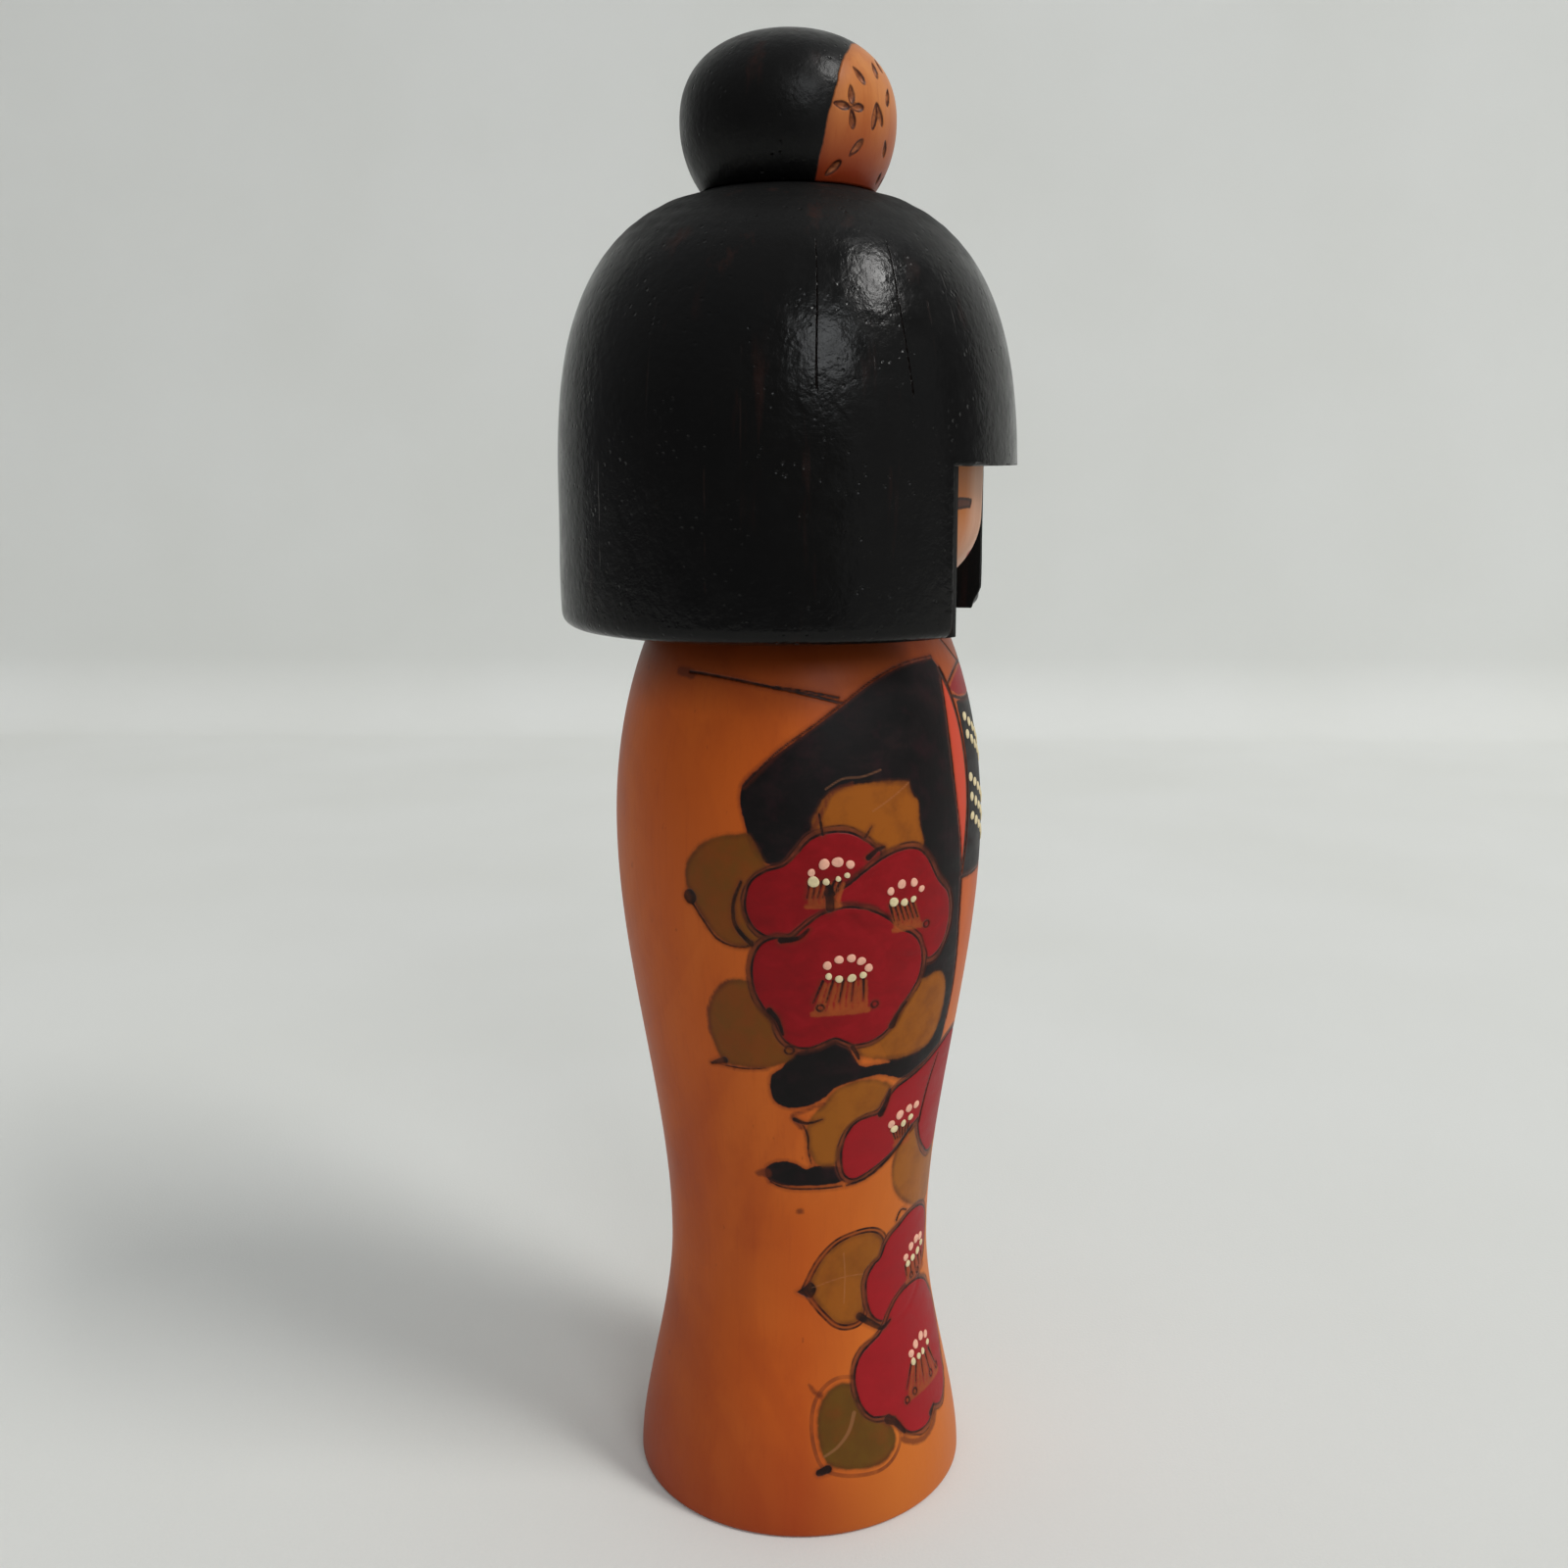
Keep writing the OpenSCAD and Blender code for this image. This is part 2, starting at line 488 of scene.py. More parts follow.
def paint_sleeve(canvas):
    """The dark sleeve, its red lining, the seam line and the edge that runs down the front."""
    sleeve = [
        (95.5, 161), (93, 163.5), (85, 167.8), (75, 172.3), (65, 176.5), (55, 180.2), (45, 182.5),
        (35, 183.5), (25, 183.8), (25, 183.8), (21.5, 181), (18, 176), (15.8, 169), (15.4, 162),
        (16.2, 154), (18, 146), (19.6, 140), (19, 133), (17, 124), (16, 116), (17, 108), (20, 98),
        (20, 98), (40, 99), (55, 112), (70, 125), (84, 146), (84, 146), (88, 147), (92, 149), (94, 154),
        (95.6, 158),
    ]
    canvas.area("ground", sleeve)
    lining = [
        (21.8, 179.3), (21.8, 179.3), (19.3, 175.5), (17.4, 170), (16.7, 163), (17.2, 155), (18.7, 149),
        (20.3, 142.5), (20.3, 142.5), (21.6, 147), (23, 153), (23.8, 161), (23.8, 169), (23, 175.5),
    ]
    canvas.erase(("ground",), canvas.area("lining", lining) - 0.2)
    front = [(21.8, 181.5), (18.3, 176.5), (16, 169), (15.4, 162), (16.2, 154), (18, 146), (20, 140.5)]
    canvas.burn(front, 0.9, 0.5)
    canvas.burn([(22.6, 179.5), (24.4, 169), (24.2, 159), (21.6, 148), (20.3, 142)], 0.4)
    canvas.burn([(19.8, 139), (19.2, 132), (17.2, 123), (16, 115), (17, 108)], 0.7, 0.4)
    seam = [(118, 182), (110, 181.8), (100, 181.2), (90, 180.3), (78, 179), (65, 177)]
    canvas.burn(seam, 0.45, 0.55)
    canvas.stroke("scorch", [(123, 182), (120, 181.9), (117, 181.6)], 1.4, 1.8)
    canvas.burn([(86, 180.2), (76, 179.3), (66, 178)], 0.25, 0.45)
    edge = [
        (95, 161.6), (85, 168.2), (75, 172.7), (65, 176.9), (55, 180.6), (45, 182.9), (35, 183.9),
        (25, 184.1)]
    canvas.burn(edge, 0.35, 0.3)


def paint_front(canvas):
    """The dotted black chest panel, the crimson collar over it, and the lines of the neckline."""
    canvas.draw_at()
    side = [(15.2, 174.6), (15.2, 174.6), (14.6, 166), (15.4, 158), (17, 149), (19.6, 139.2), (19.6, 139.2)]
    panel = side + [(-t, z) for t, z in reversed(side)]
    canvas.area("panel", panel)
    collar = [
        (18.2, 177.4), (18.2, 177.4), (12, 179.2), (5, 180.2), (0, 180.3), (0, 175.3), (7, 175.4),
        (13, 175.8)]
    canvas.burn([(20.3, 139.2), (10, 138.9), (0, 138.8), (-10, 138.9), (-20.3, 139.2)], 0.6)
    for mirror in (1, -1):
        canvas.draw_at(mirror)
        canvas.area("collar", collar)
        canvas.burn([(18.5, 178.4), (12, 180.1), (5, 181.2), (0, 181.4)], 0.5)
        canvas.burn([(18, 176), (12, 175), (5, 174.6), (0, 174.6)], 0.6)
        canvas.burn([(15, 187.4), (11, 185.6), (6, 183.4), (0, 181.2)], 0.5)


def paint_camellias(canvas):
    """Three camellias and four leaves on a sleeve."""
    add_leaf(canvas, [
        (92, 151.6), (97, 152.2), (103, 151.4), (109, 149), (112.8, 145.5), (113.4, 141.5), (111, 138),
        (107.5, 134.5), (103, 131.2), (97, 129.8), (90, 131), (85, 140)], 0.75)
    canvas.area("burn", [
        (114.5, 138.6), (113.5, 140), (111.6, 140.2), (110.2, 139), (111, 137.5), (113.1, 137.3)])
    canvas.burn([
        (111.5, 137.5), (108, 134.3), (104.4, 131.3), (100, 129.9), (95, 129.7), (92.5, 131)], 0.5, 0.3)
    add_leaf(canvas, [
        (86, 121), (93, 122.6), (100, 122.4), (105, 120), (108.6, 115.5), (109, 111), (107, 106.5),
        (104, 104), (96, 103.7), (88, 104.2), (80, 108)], 0.75)
    canvas.burn([(104.5, 104.5), (107.5, 103.8), (110, 103.2)], 1.4, 0.5)
    canvas.burn([(108, 103.5), (98, 103.2), (90, 103.8)], 0.25)
    canvas.stroke("scorch", [(101, 122.3), (105.8, 119.3), (109, 115), (109, 110)], 0.3, 0.6)
    add_leaf(canvas, [
        (60, 140), (74, 153), (73.5, 157), (70.5, 160), (65, 161.5), (57, 161.9), (50, 161.8),
        (44.6, 161.4), (44.6, 161.4), (43.8, 159), (41.4, 157.6), (41.4, 157.6), (41.2, 153),
        (41, 147)], 0.15)
    canvas.stroke("pale", [(57, 156.5), (50, 159), (44.6, 161.2)], 0.3)
    canvas.stroke("pale", [(71, 161.2), (66, 163), (60, 163.2), (54, 164.2)], 0.35)
    canvas.stroke("scorch", [(75, 153), (72, 157), (69, 160.5), (63, 162)], 1.0, 0.5)
    add_leaf(canvas, [
        (36, 120.2), (30, 120.7), (25.5, 119.6), (22.4, 116.5), (21.7, 112), (23.5, 107.5), (28, 104.5),
        (36, 103.6), (46, 103.8), (57, 105.6), (59, 108), (50, 118), (42, 122)], 0.3)
    add_flower(canvas, [
        (94, 139.5), (92.3, 143), (88, 145.2), (83, 146.3), (79, 148.8), (75.5, 151.4), (71, 152.6),
        (65, 152.6), (60.5, 151.2), (57, 149.3), (55, 147.4), (62, 140), (72, 136), (80, 133.4),
        (86, 132.2), (91, 133.6), (93.6, 136.4)], 1)
    add_flower(canvas, [
        (68.5, 139.8), (64, 142.4), (58, 145.3), (52, 147.4), (46, 148.2), (41, 147.4), (37.5, 145),
        (34.5, 141.8), (31.5, 139.4), (28.3, 137.6), (26.3, 134.5), (26.2, 130.5), (27.8, 127.3),
        (31, 125.2), (34.6, 124.6), (37.5, 126), (50, 128), (60, 135)], 2)
    add_flower(canvas, [
        (65, 137.7), (58, 136.8), (52, 134.6), (47.5, 132), (43, 130.6), (39.5, 128.3), (37.6, 124.8),
        (38.2, 121), (41, 118), (44.6, 115.6), (44.6, 115.6), (46.6, 112.8), (50, 110.3), (55, 108.9),
        (60.5, 108.6), (60.5, 108.6), (64, 109.8), (67, 110.6), (70, 110), (75, 108.8), (79.5, 108.9),
        (83.5, 110.6), (86.3, 114.6), (86.3, 114.6), (90, 117.8), (92.4, 121.5), (92.6, 126),
        (90.5, 129.8), (86.5, 131.6), (81, 131.8), (77.5, 133.8), (72, 136.6)], 3)
    canvas.burn([(88, 116.6), (85.5, 114.5), (84, 111.5)], 1.3, 0.5)
    canvas.burn([(47, 111.5), (45, 114), (42, 116)], 1.6, 0.4)
    canvas.burn([(61, 108), (59.5, 106.5), (58.5, 105.2)], 0.9, 0.5)
    canvas.burn([(58.5, 147.5), (56, 148.8), (53.5, 149.3)], 1.2, 0.5)
    canvas.burn([(59.5, 151.5), (57.5, 153.6)], 0.5, 0.3)
    canvas.burn([(72, 152.5), (73, 156.5)], 0.5, 0.3)
    canvas.burn([(84, 131.5), (79, 132), (76, 133.8)], 1.2, 0.5)
    canvas.burn([(95.5, 143), (98, 138.5), (97.5, 134), (93, 130.5)], 0.5, 1.0)
    add_loop(canvas, 82, 108, 1.1)


def add_loop(canvas, turn, height, size):
    """A small burnt ring, as left by the rim of a hot tube."""
    wide = canvas.mirror * math.degrees(size / 33) * 0.8  # it starts on the same side on both sleeves
    tall = size * 0.8
    ring = [(turn + wide * math.cos(a), height + tall * math.sin(a)) for a in np.arange(7) * math.pi / 3]
    canvas.burn(ring, 0.35)


def add_stamens(canvas, pink, cream, top, foot, threads, loops=()):
    """Brown threads, with burnt ones beside them, from a row of dots down to the foot of a fan.

    top and foot are (turn, turn, height) of the fan's two ends. Returns the dots to be modelled.
    """
    for k in range(threads):
        share = k / (threads - 1)
        high = (top[0] + (top[1] - top[0]) * share, top[2])
        low = (foot[0] + (foot[1] - foot[0]) * share, foot[2])
        canvas.stroke("stamen", [high, low], 0.7, 1.0)
        if k % 2 == 0 or threads < 7:
            beside = [(high[0] + 0.8, high[1] + 0.6), (low[0] + 0.9, low[1] + (high[1] - low[1]) * 0.35)]
            canvas.burn(beside, 0.5, 0.22)
    canvas.stroke("stamen", [(foot[0] + 1, foot[2] - 0.3), (foot[1] - 1, foot[2] - 0.3)], 1.1)
    for t, z in loops:
        add_loop(canvas, t, z, 0.85)
    return [(*p, "pink") for p in canvas.placed(pink)] + [(*p, "cream") for p in canvas.placed(cream)]


def paint_hem(canvas):
    """The dark hems of both sleeves, and the dark pod below the right one."""
    hem = [
        (88.6, 99.5), (88, 102.2), (84.5, 104), (81, 107), (77, 108), (72, 108.6), (67.5, 110),
        (63, 108.6), (60, 105.5), (57, 103.4), (50, 103.2), (40, 102.9), (30, 103.3), (19, 105),
        (19, 105), (19, 97.6), (19, 97.6), (30, 97.6), (40, 98.6), (50, 100.8), (59, 100.4), (66, 99.3),
        (70, 97.2), (76, 95.4), (83, 95.1), (87.5, 96.6)]
    canvas.area("ground", hem)
    left_hem = [
        (60, 104), (50, 103.2), (40, 102.9), (30, 103.3), (19, 105), (19, 105), (19, 97.6), (19, 97.6),
        (30, 97.6), (45, 97), (58, 97.6), (66, 99), (69, 101.5), (66, 104)]
    canvas.draw_at(-1)
    canvas.area("ground", left_hem)
    canvas.draw_at()
    canvas.area("ground", [
        (92, 79.6), (90.5, 81.4), (86, 82.5), (81, 82.3), (76.5, 80.9), (72, 81.5), (67, 81.4),
        (62, 80.3), (60, 78.5), (63, 77.2), (70, 76.9), (77, 77), (84, 77), (90, 77.8)])
    canvas.stroke("scorch", [(95, 79.3), (91.5, 79.6)], 1.0, 2.0)


def paint_spray(canvas):
    """The flower, bud lines and two leaves below the hem, which run across the front."""
    add_leaf(canvas, [
        (44.5, 96.5), (49, 99.2), (55, 100.2), (62, 99.8), (67, 98.2), (70, 95.6), (73.5, 93.6),
        (76, 90.5), (76, 87), (73.5, 83), (70, 81.4), (64, 81.8), (55, 88)], 0.4)
    canvas.burn([(80.5, 92.4), (76, 91.4), (70.5, 92.2)], 0.9, 0.3)
    canvas.stroke("scorch", [(70, 95.8), (76, 94.5), (81, 93.2), (78, 90.5)], 0.5, 0.8)
    add_leaf(canvas, [
        (38.6, 76), (38, 81), (33, 84.8), (25, 85.6), (14, 82.6), (5, 77), (1, 71), (3, 65), (12, 63.6),
        (21, 65.4), (29, 68), (35.6, 71.6)], 0.4)
    canvas.burn([(33.4, 64.4), (31.8, 65.9), (30, 66.3), (27, 65.6)], 0.5, 0.3)
    add_flower(canvas, [
        (62.3, 83.5), (61.2, 87.3), (58, 90.2), (53.5, 91.1), (49, 91.4), (46.6, 92.2), (46.6, 92.2),
        (44.5, 94.8), (40.5, 96.7), (34, 98), (27, 99.6), (20, 101.4), (12, 103), (4, 103), (-3, 100.5),
        (-7, 96), (-8, 90), (-6, 84), (-1, 79.5), (5, 76.8), (12, 76.6), (18, 79), (23, 82.4),
        (26.4, 87.4), (26.4, 87.4), (33, 85.2), (39, 82.2), (45, 80.2), (51, 78.6), (57, 77.6),
        (61, 79.2)], 1)
    canvas.burn([(60, 76.2), (52, 77), (45, 79), (38, 81.8), (30, 86)], 0.4, 0.9)
    canvas.burn([(25.4, 86), (24.6, 89.5), (22.6, 95), (19, 100.5)], 0.7, 0.35)
    canvas.burn([(77.4, 91), (75.6, 88.4), (75.4, 85), (74.2, 82)], 0.35, 0.25)
    canvas.stroke("scorch", [(79, 71), (78, 71)], 1.1)
    canvas.burn([(62, 76.2), (72, 76.1), (84, 76.4), (90, 77.6)], 0.35)
    canvas.burn([(47.5, 91.5), (45.5, 94), (44.6, 96.6)], 1.5, 0.7)


def paint_low_flowers(canvas):
    """Two camellias and two leaves near the foot."""
    add_leaf(canvas, [
        (75.5, 53), (75.5, 53), (72, 57), (68, 60.2), (62.5, 62.8), (56, 63.9), (49, 64), (43.5, 62.8),
        (40.6, 60.4), (41, 56), (48, 50), (52, 45.2), (57.5, 44.2), (63, 45), (68, 47.6),
        (72, 50.2)], 0.45, "leaf_burnt")
    canvas.area("burn", [
        (80, 52.4), (80, 52.4), (77, 53.4), (74, 54.5), (71.8, 52.9), (74, 51), (77, 51.6)])
    canvas.stroke("pale", [(73.5, 53.2), (66, 54.4), (58, 55), (50, 54.6)], 0.25)
    canvas.stroke("pale", [(60, 60.5), (59.3, 55), (59.8, 49)], 0.25)
    add_leaf(canvas, [
        (55, 30), (58.5, 31.6), (63, 32), (67.5, 30.8), (71, 28), (72.2, 24), (71.4, 19.5), (69, 16),
        (64, 14.5), (57, 13.7), (50, 13.5), (45, 14.6), (41.8, 17), (42.5, 20), (46.5, 22.6),
        (51, 24)], 1.0, "leaf_brown")
    canvas.stroke("pale", [(70, 17.5), (65, 19.2), (60.5, 22), (58, 25.5)], 0.5, 0.9)
    canvas.burn([(72, 14.2), (69, 14.8)], 1.4, 1.7)
    canvas.stroke("scorch", [(75, 32.3), (72.5, 30.6), (70.5, 30)], 0.4, 1.0)
    add_flower(canvas, [
        (49, 50.5), (48, 53.8), (45, 55.8), (41.5, 57), (39.3, 59.5), (39.3, 59.5), (36, 61.3),
        (31, 62.6), (25, 64), (18, 64.2), (11, 63), (5.5, 60.6), (3, 57.4), (4.5, 54), (9, 50.4),
        (15, 47.6), (24, 44), (34, 42.4), (43, 43.2), (47.5, 46)], 1)
    add_flower(canvas, [
        (56.3, 31), (55.6, 34.4), (52.8, 37), (48.5, 38.6), (44, 39.8), (40, 41.6), (36.5, 44), (32, 46),
        (26, 47), (19, 47), (12, 45.9), (6, 43.9), (1.5, 41), (1.5, 41), (-2.5, 38), (-4.5, 33.5),
        (-3.5, 29), (0.5, 25.4), (0.5, 25.4), (2.5, 21.5), (7, 18.6), (12.5, 17.6), (18.6, 19),
        (18.6, 19), (22.5, 16.8), (28, 16.3), (34, 17.2), (38.4, 19.6), (40.4, 22), (40.4, 22), (45, 23),
        (50.5, 23.9), (54.3, 26.6)], 2)
    canvas.burn([(44, 22), (40.5, 20.5), (37, 17.8)], 2.0, 0.8)
    canvas.burn([(53, 45.4), (47, 43), (42, 41.3), (37.5, 42.2)], 1.6, 0.6)
    canvas.stroke("scorch", [(38.5, 16.6), (33, 14.7), (27, 14), (21, 15), (17.5, 17)], 1.2)
    canvas.burn([(21, 17.6), (18, 18.6)], 1.4, 0.7)


def paint_left_flower(canvas):
    """A single flower and two leaves low on the doll's left."""
    canvas.draw_at(-1, 6, 4)
    add_leaf(canvas, [
        (74, 51), (74, 51), (70, 55), (64, 58), (57, 59), (51, 57.5), (47, 53), (50, 47), (57, 44.5),
        (65, 45.5), (71, 48)], 0.5, "leaf_burnt")
    canvas.draw_at(-1, 2, 4)
    add_leaf(canvas, [
        (52, 30), (58, 33), (65, 33), (70, 30), (72, 25), (69, 20), (62, 18), (54, 19)], 0.9, "leaf_brown")
    canvas.draw_at(-1)
    add_flower(canvas, [
        (38, 40), (37, 45), (40, 49.5), (46, 51.4), (52, 50), (55.5, 47), (55.5, 47), (60, 45),
        (62, 40.5), (60.5, 36), (56, 33.4), (56, 33.4), (52, 30.4), (46, 30), (41, 32.2), (39.4, 36),
        (39.4, 36)], 1)
    canvas.draw_at()


def group_stamens(canvas):
    """The stamens of the three camellias on a sleeve."""
    dots = add_stamens(
        canvas, [(75.2, 145.2, 0.75), (71.6, 146.8, 1.1), (67.7, 147.1, 1.1), (64, 146.5, 0.92)],
        [(74.6, 143.4, 1.1), (71, 143.3, 0.75), (67.5, 143.8, 0.6), (64.9, 144.4, 0.6)],
        (75, 66, 142.8), (75.5, 68, 138.8), 6)
    canvas.burn([(70, 142), (69.8, 138)], 1.5, 1.7)
    dots += add_stamens(
        canvas, [(51.2, 140.3, 0.9), (47.5, 141.4, 1.05), (43, 141.3, 0.92), (40, 139.7, 0.72)],
        [(50, 138, 1.0), (46.3, 137.6, 0.9), (43, 137.9, 0.7)],
        (50.5, 42.5, 136.8), (48.5, 40, 132.4), 6, ((37, 132),))
    dots += add_stamens(
        canvas,
        [(70.3, 126.2, 0.9), (66.8, 127.3, 0.95), (63, 127.4, 0.92), (59.8, 126.6, 0.9), (57.3, 125, 0.85)],
        [(69.8, 123.9, 0.72), (66.6, 123.2, 0.8), (62.6, 123.2, 0.95), (59, 123.6, 0.78)],
        (70.8, 58, 122.3), (73.5, 57.4, 116.2), 9, ((72.2, 117.2), (54.4, 116.9)))
    return dots


def low_stamens(canvas):
    """The stamens of the flowers below the hem, and of the one low on the doll's left."""
    dots = add_stamens(
        canvas, [(42, 88.3, 0.95), (38.2, 89.9, 1.15), (33.5, 90.6, 0.95), (29.2, 90.7, 0.95)],
        [(40.2, 86.9, 0.95), (35.6, 87.5, 0.8), (31.8, 88.3, 0.75)],
        (40.5, 31.5, 86.4), (38, 32, 83.2), 6)
    dots += add_stamens(
        canvas, [(25.5, 54.1, 0.9), (21.3, 55.8, 1.05), (16.4, 56.5, 1.05), (11.7, 56.1, 0.95)],
        [(23.8, 52.3, 0.85), (19.6, 52.8, 0.9), (14.6, 53.3, 0.95), (10.2, 54.2, 0.8)],
        (25, 9.5, 51.6), (24, 8, 48.6), 9, ((21, 49), (15, 48.8)))
    dots += add_stamens(
        canvas, [(27.3, 32.6, 1.0), (23.5, 33.8, 1.05), (18.7, 34.5, 1.05), (14.5, 33.8, 0.95)],
        [(26.7, 30.7, 0.85), (22.5, 30.9, 0.75), (19, 31.1, 0.75), (13.8, 31.8, 0.7)],
        (27.5, 13, 29.8), (32, 9.5, 24.2), 9, ((33.5, 23.8), (28.6, 24.6), (15.7, 25.2), (9.5, 25.2)))
    canvas.draw_at(-1)
    dots += add_stamens(
        canvas, [(44, 43.2, 0.9), (47.8, 44.6, 1.0), (52, 44.4, 1.0), (55.4, 43, 0.9)],
        [(45.4, 41.2, 0.8), (49, 41.8, 0.85), (52.8, 41.4, 0.8)],
        (44.5, 54.5, 40.4), (42.5, 57, 35.8), 7, ((45, 36.4), (53, 36.4)))
    canvas.draw_at()
    return dots


def panel_dots():
    """Slanting rows of three cream dots across the chest panel."""
    dots = []
    for start, rows in ((12.2, (159, 155, 151)), (14.5, (172.6, 169.0))):
        for z in rows:
            for step in range(8):
                turn = start - 4.1 * step
                height = z - 1.45 * step
                if abs(turn) < 13.5 and 141 < height < 173.5:
                    dots.append((turn, height, 1.02, "cream"))
    return dots


def paint_body(canvas):
    """Everything drawn on the body. Returns the dots of thick paint."""
    for mirror in (1, -1):
        canvas.draw_at(mirror)
        paint_sleeve(canvas)
    paint_front(canvas)
    canvas.draw_at()
    paint_hem(canvas)
    sleeves = ((1, 0, 0), LEFT_GROUP)
    for place in sleeves:
        canvas.draw_at(*place)
        paint_camellias(canvas)
    canvas.draw_at()
    paint_spray(canvas)
    paint_low_flowers(canvas)
    paint_left_flower(canvas)
    dots = []
    for place in sleeves:
        canvas.draw_at(*place)
        dots += group_stamens(canvas)
    canvas.draw_at()
    return dots + low_stamens(canvas) + panel_dots()


# ---------------------------------------------------------------- the body

def groove(distance, width):
    """Depth from 0 to 1 across a burnt line or strip, deepest in its middle."""
    return np.clip(-distance / width, 0, 1)


def strip(distance, start, end):
    """How far inside the strip between two distances from an edge, as a negative distance."""
    return abs(distance - (start + end) / 2) - (end - start) / 2


def make_body():
    """The body's skin, finer along what is painted on it, with its underside and its bore."""
    heights, radii = outer_profile("body")
    top, edge = heights[-1], 1.0
    bore, bore_deep = 8.05, 24.5
    profile = heights[heights >= edge], radii[heights >= edge]
    rows = np.concatenate([np.linspace(edge, 187, 152), np.linspace(188, top, 8)])
    turns = np.append(ring_angles(-110, 124, 2.0, 4.0), 180.0)

    def painted(turn, height):
        canvas = Canvas(turn, height, profile, FILLS + STROKES)
        return canvas, paint_body(canvas)

    def near_any_edge(turn, height):
        return painted(turn, height)[0].nearest(FILLS + STROKES) < 1.7

    def near_a_thin_line(turn, height):
        return painted(turn, height)[0].nearest(("burn", "pale")) < 0.55

    turn, height, faces = refined_sheet(turns, rows, (near_any_edge, near_a_thin_line))
    canvas, dots = painted(turn, height)
    borders = [strip(canvas.layers[f"petal_{level}"], 0.0, BORDER) for level in (1, 2, 3)]
    petals = groove(np.min(borders, axis=0), 0.5)
    lines = groove(canvas.layers["burn"], 0.25)
    radius = curve_through(*profile, height) - np.maximum(0.13 * petals, 0.16 * lines)
    angle = np.radians(turn)
    outside = np.stack([-radius * np.sin(angle), -radius * np.cos(angle), height], -1)
    ring = turns[:-1]
    arc = np.radians(np.linspace(0, 90, 6))
    foot = curve_through(*profile, np.array([edge]))[0]
    # the underside is hollowed by half a millimetre, with the lathe centre's mark in its middle
    under_r = np.array([0.05, 3.0, 3.2, 29.0, 30.5, *(foot - edge + edge * np.sin(arc))])
    under = turned_points(ring, [1.4, 1.4, 0.5, 0.5, 0.0, *(edge - edge * np.cos(arc))], under_r, 0)
    inner_r = np.array([radii[-1], bore + 0.5, bore, bore, 0.05])
    inner = turned_points(ring, [top, top, top - 0.5, top - bore_deep, top - bore_deep], inner_r, 0)
    caps = [list(range(len(ring))), list(range(len(ring) * 4, len(ring) * 5))[::-1]]
    points, faces = joined((
        (outside, faces),
        (under, grid_faces(len(under_r), len(ring)) + caps[:1]),
        (inner, grid_faces(len(inner_r), len(ring)) + caps[1:])))
    piece = add_piece("body_turned", points, faces, body_material(), "torso", ["body"])
    spare = np.full(len(points) - len(turn), FAR)
    for name, values in canvas.layers.items():
        set_layer(piece, name, np.append(values, spare))
    set_layer(piece, "tone", np.append(canvas.tone, spare * 0))
    weld(piece)
    make_dots(dots, heights, radii)
    return piece


def make_dots(dots, heights, radii):
    """Low, slightly uneven domes of thick paint, set on the body's surface."""
    rng = np.random.default_rng(7)
    spokes, rings = 16, (1.0, 0.93, 0.75, 0.45)
    points, faces, paints = [], [], []
    for turn, height, size, paint in dots:
        angle = math.radians(turn)
        out = Vector((-math.sin(angle), -math.cos(angle), 0))
        here = float(np.interp(height, heights, radii))
        slope = float(np.interp(height + 0.5, heights, radii) - np.interp(height - 0.5, heights, radii))
        normal = (out - Vector((0, 0, slope))).normalized()
        side = Vector((-math.cos(angle), math.sin(angle), 0))
        up = normal.cross(side).normalized()
        start = len(points)
        middle = out * here + Vector((0, 0, height))
        wide, tall = rng.uniform(0.94, 1.1), rng.uniform(0.9, 1.05)
        lobes = rng.uniform(0, 2 * math.pi, 2)
        for ring in rings:
            lift = 0.3 * math.sqrt(1 - ring ** 2) * (0.8 + 0.2 * ring) - (0.12 if ring == 1.0 else 0.0)
            for k in range(spokes):
                a = 2 * math.pi * k / spokes
                uneven = 1 + 0.05 * math.sin(2 * a + lobes[0]) + 0.03 * math.sin(3 * a + lobes[1])
                reach = size * ring * uneven
                across, along = reach * wide * math.cos(a), reach * tall * math.sin(a)
                points.append(middle + side * across + up * along + normal * lift)
        points.append(middle + normal * 0.26)
        for ring in range(len(rings) - 1):
            for k in range(spokes):
                a, b = start + ring * spokes + k, start + ring * spokes + (k + 1) % spokes
                faces.append((a, b, b + spokes, a + spokes))
        last = start + (len(rings) - 1) * spokes
        for k in range(spokes):
            faces.append((last + k, last + (k + 1) % spokes, len(points) - 1))
        faces.append(tuple(start + k for k in reversed(range(spokes))))
        paints += [paint == "cream"] * (len(rings) * spokes + 1)
    pink = dot_material("dot_pink", (236, 176, 150))
    piece = add_piece("body_paint_dots", [tuple(p) for p in points], faces, pink, "torso")
    piece.data.materials.append(dot_material("dot_cream", (222, 204, 160)))
    piece.data.polygons.foreach_set("material_index", [int(p) for p in paints])
    return piece


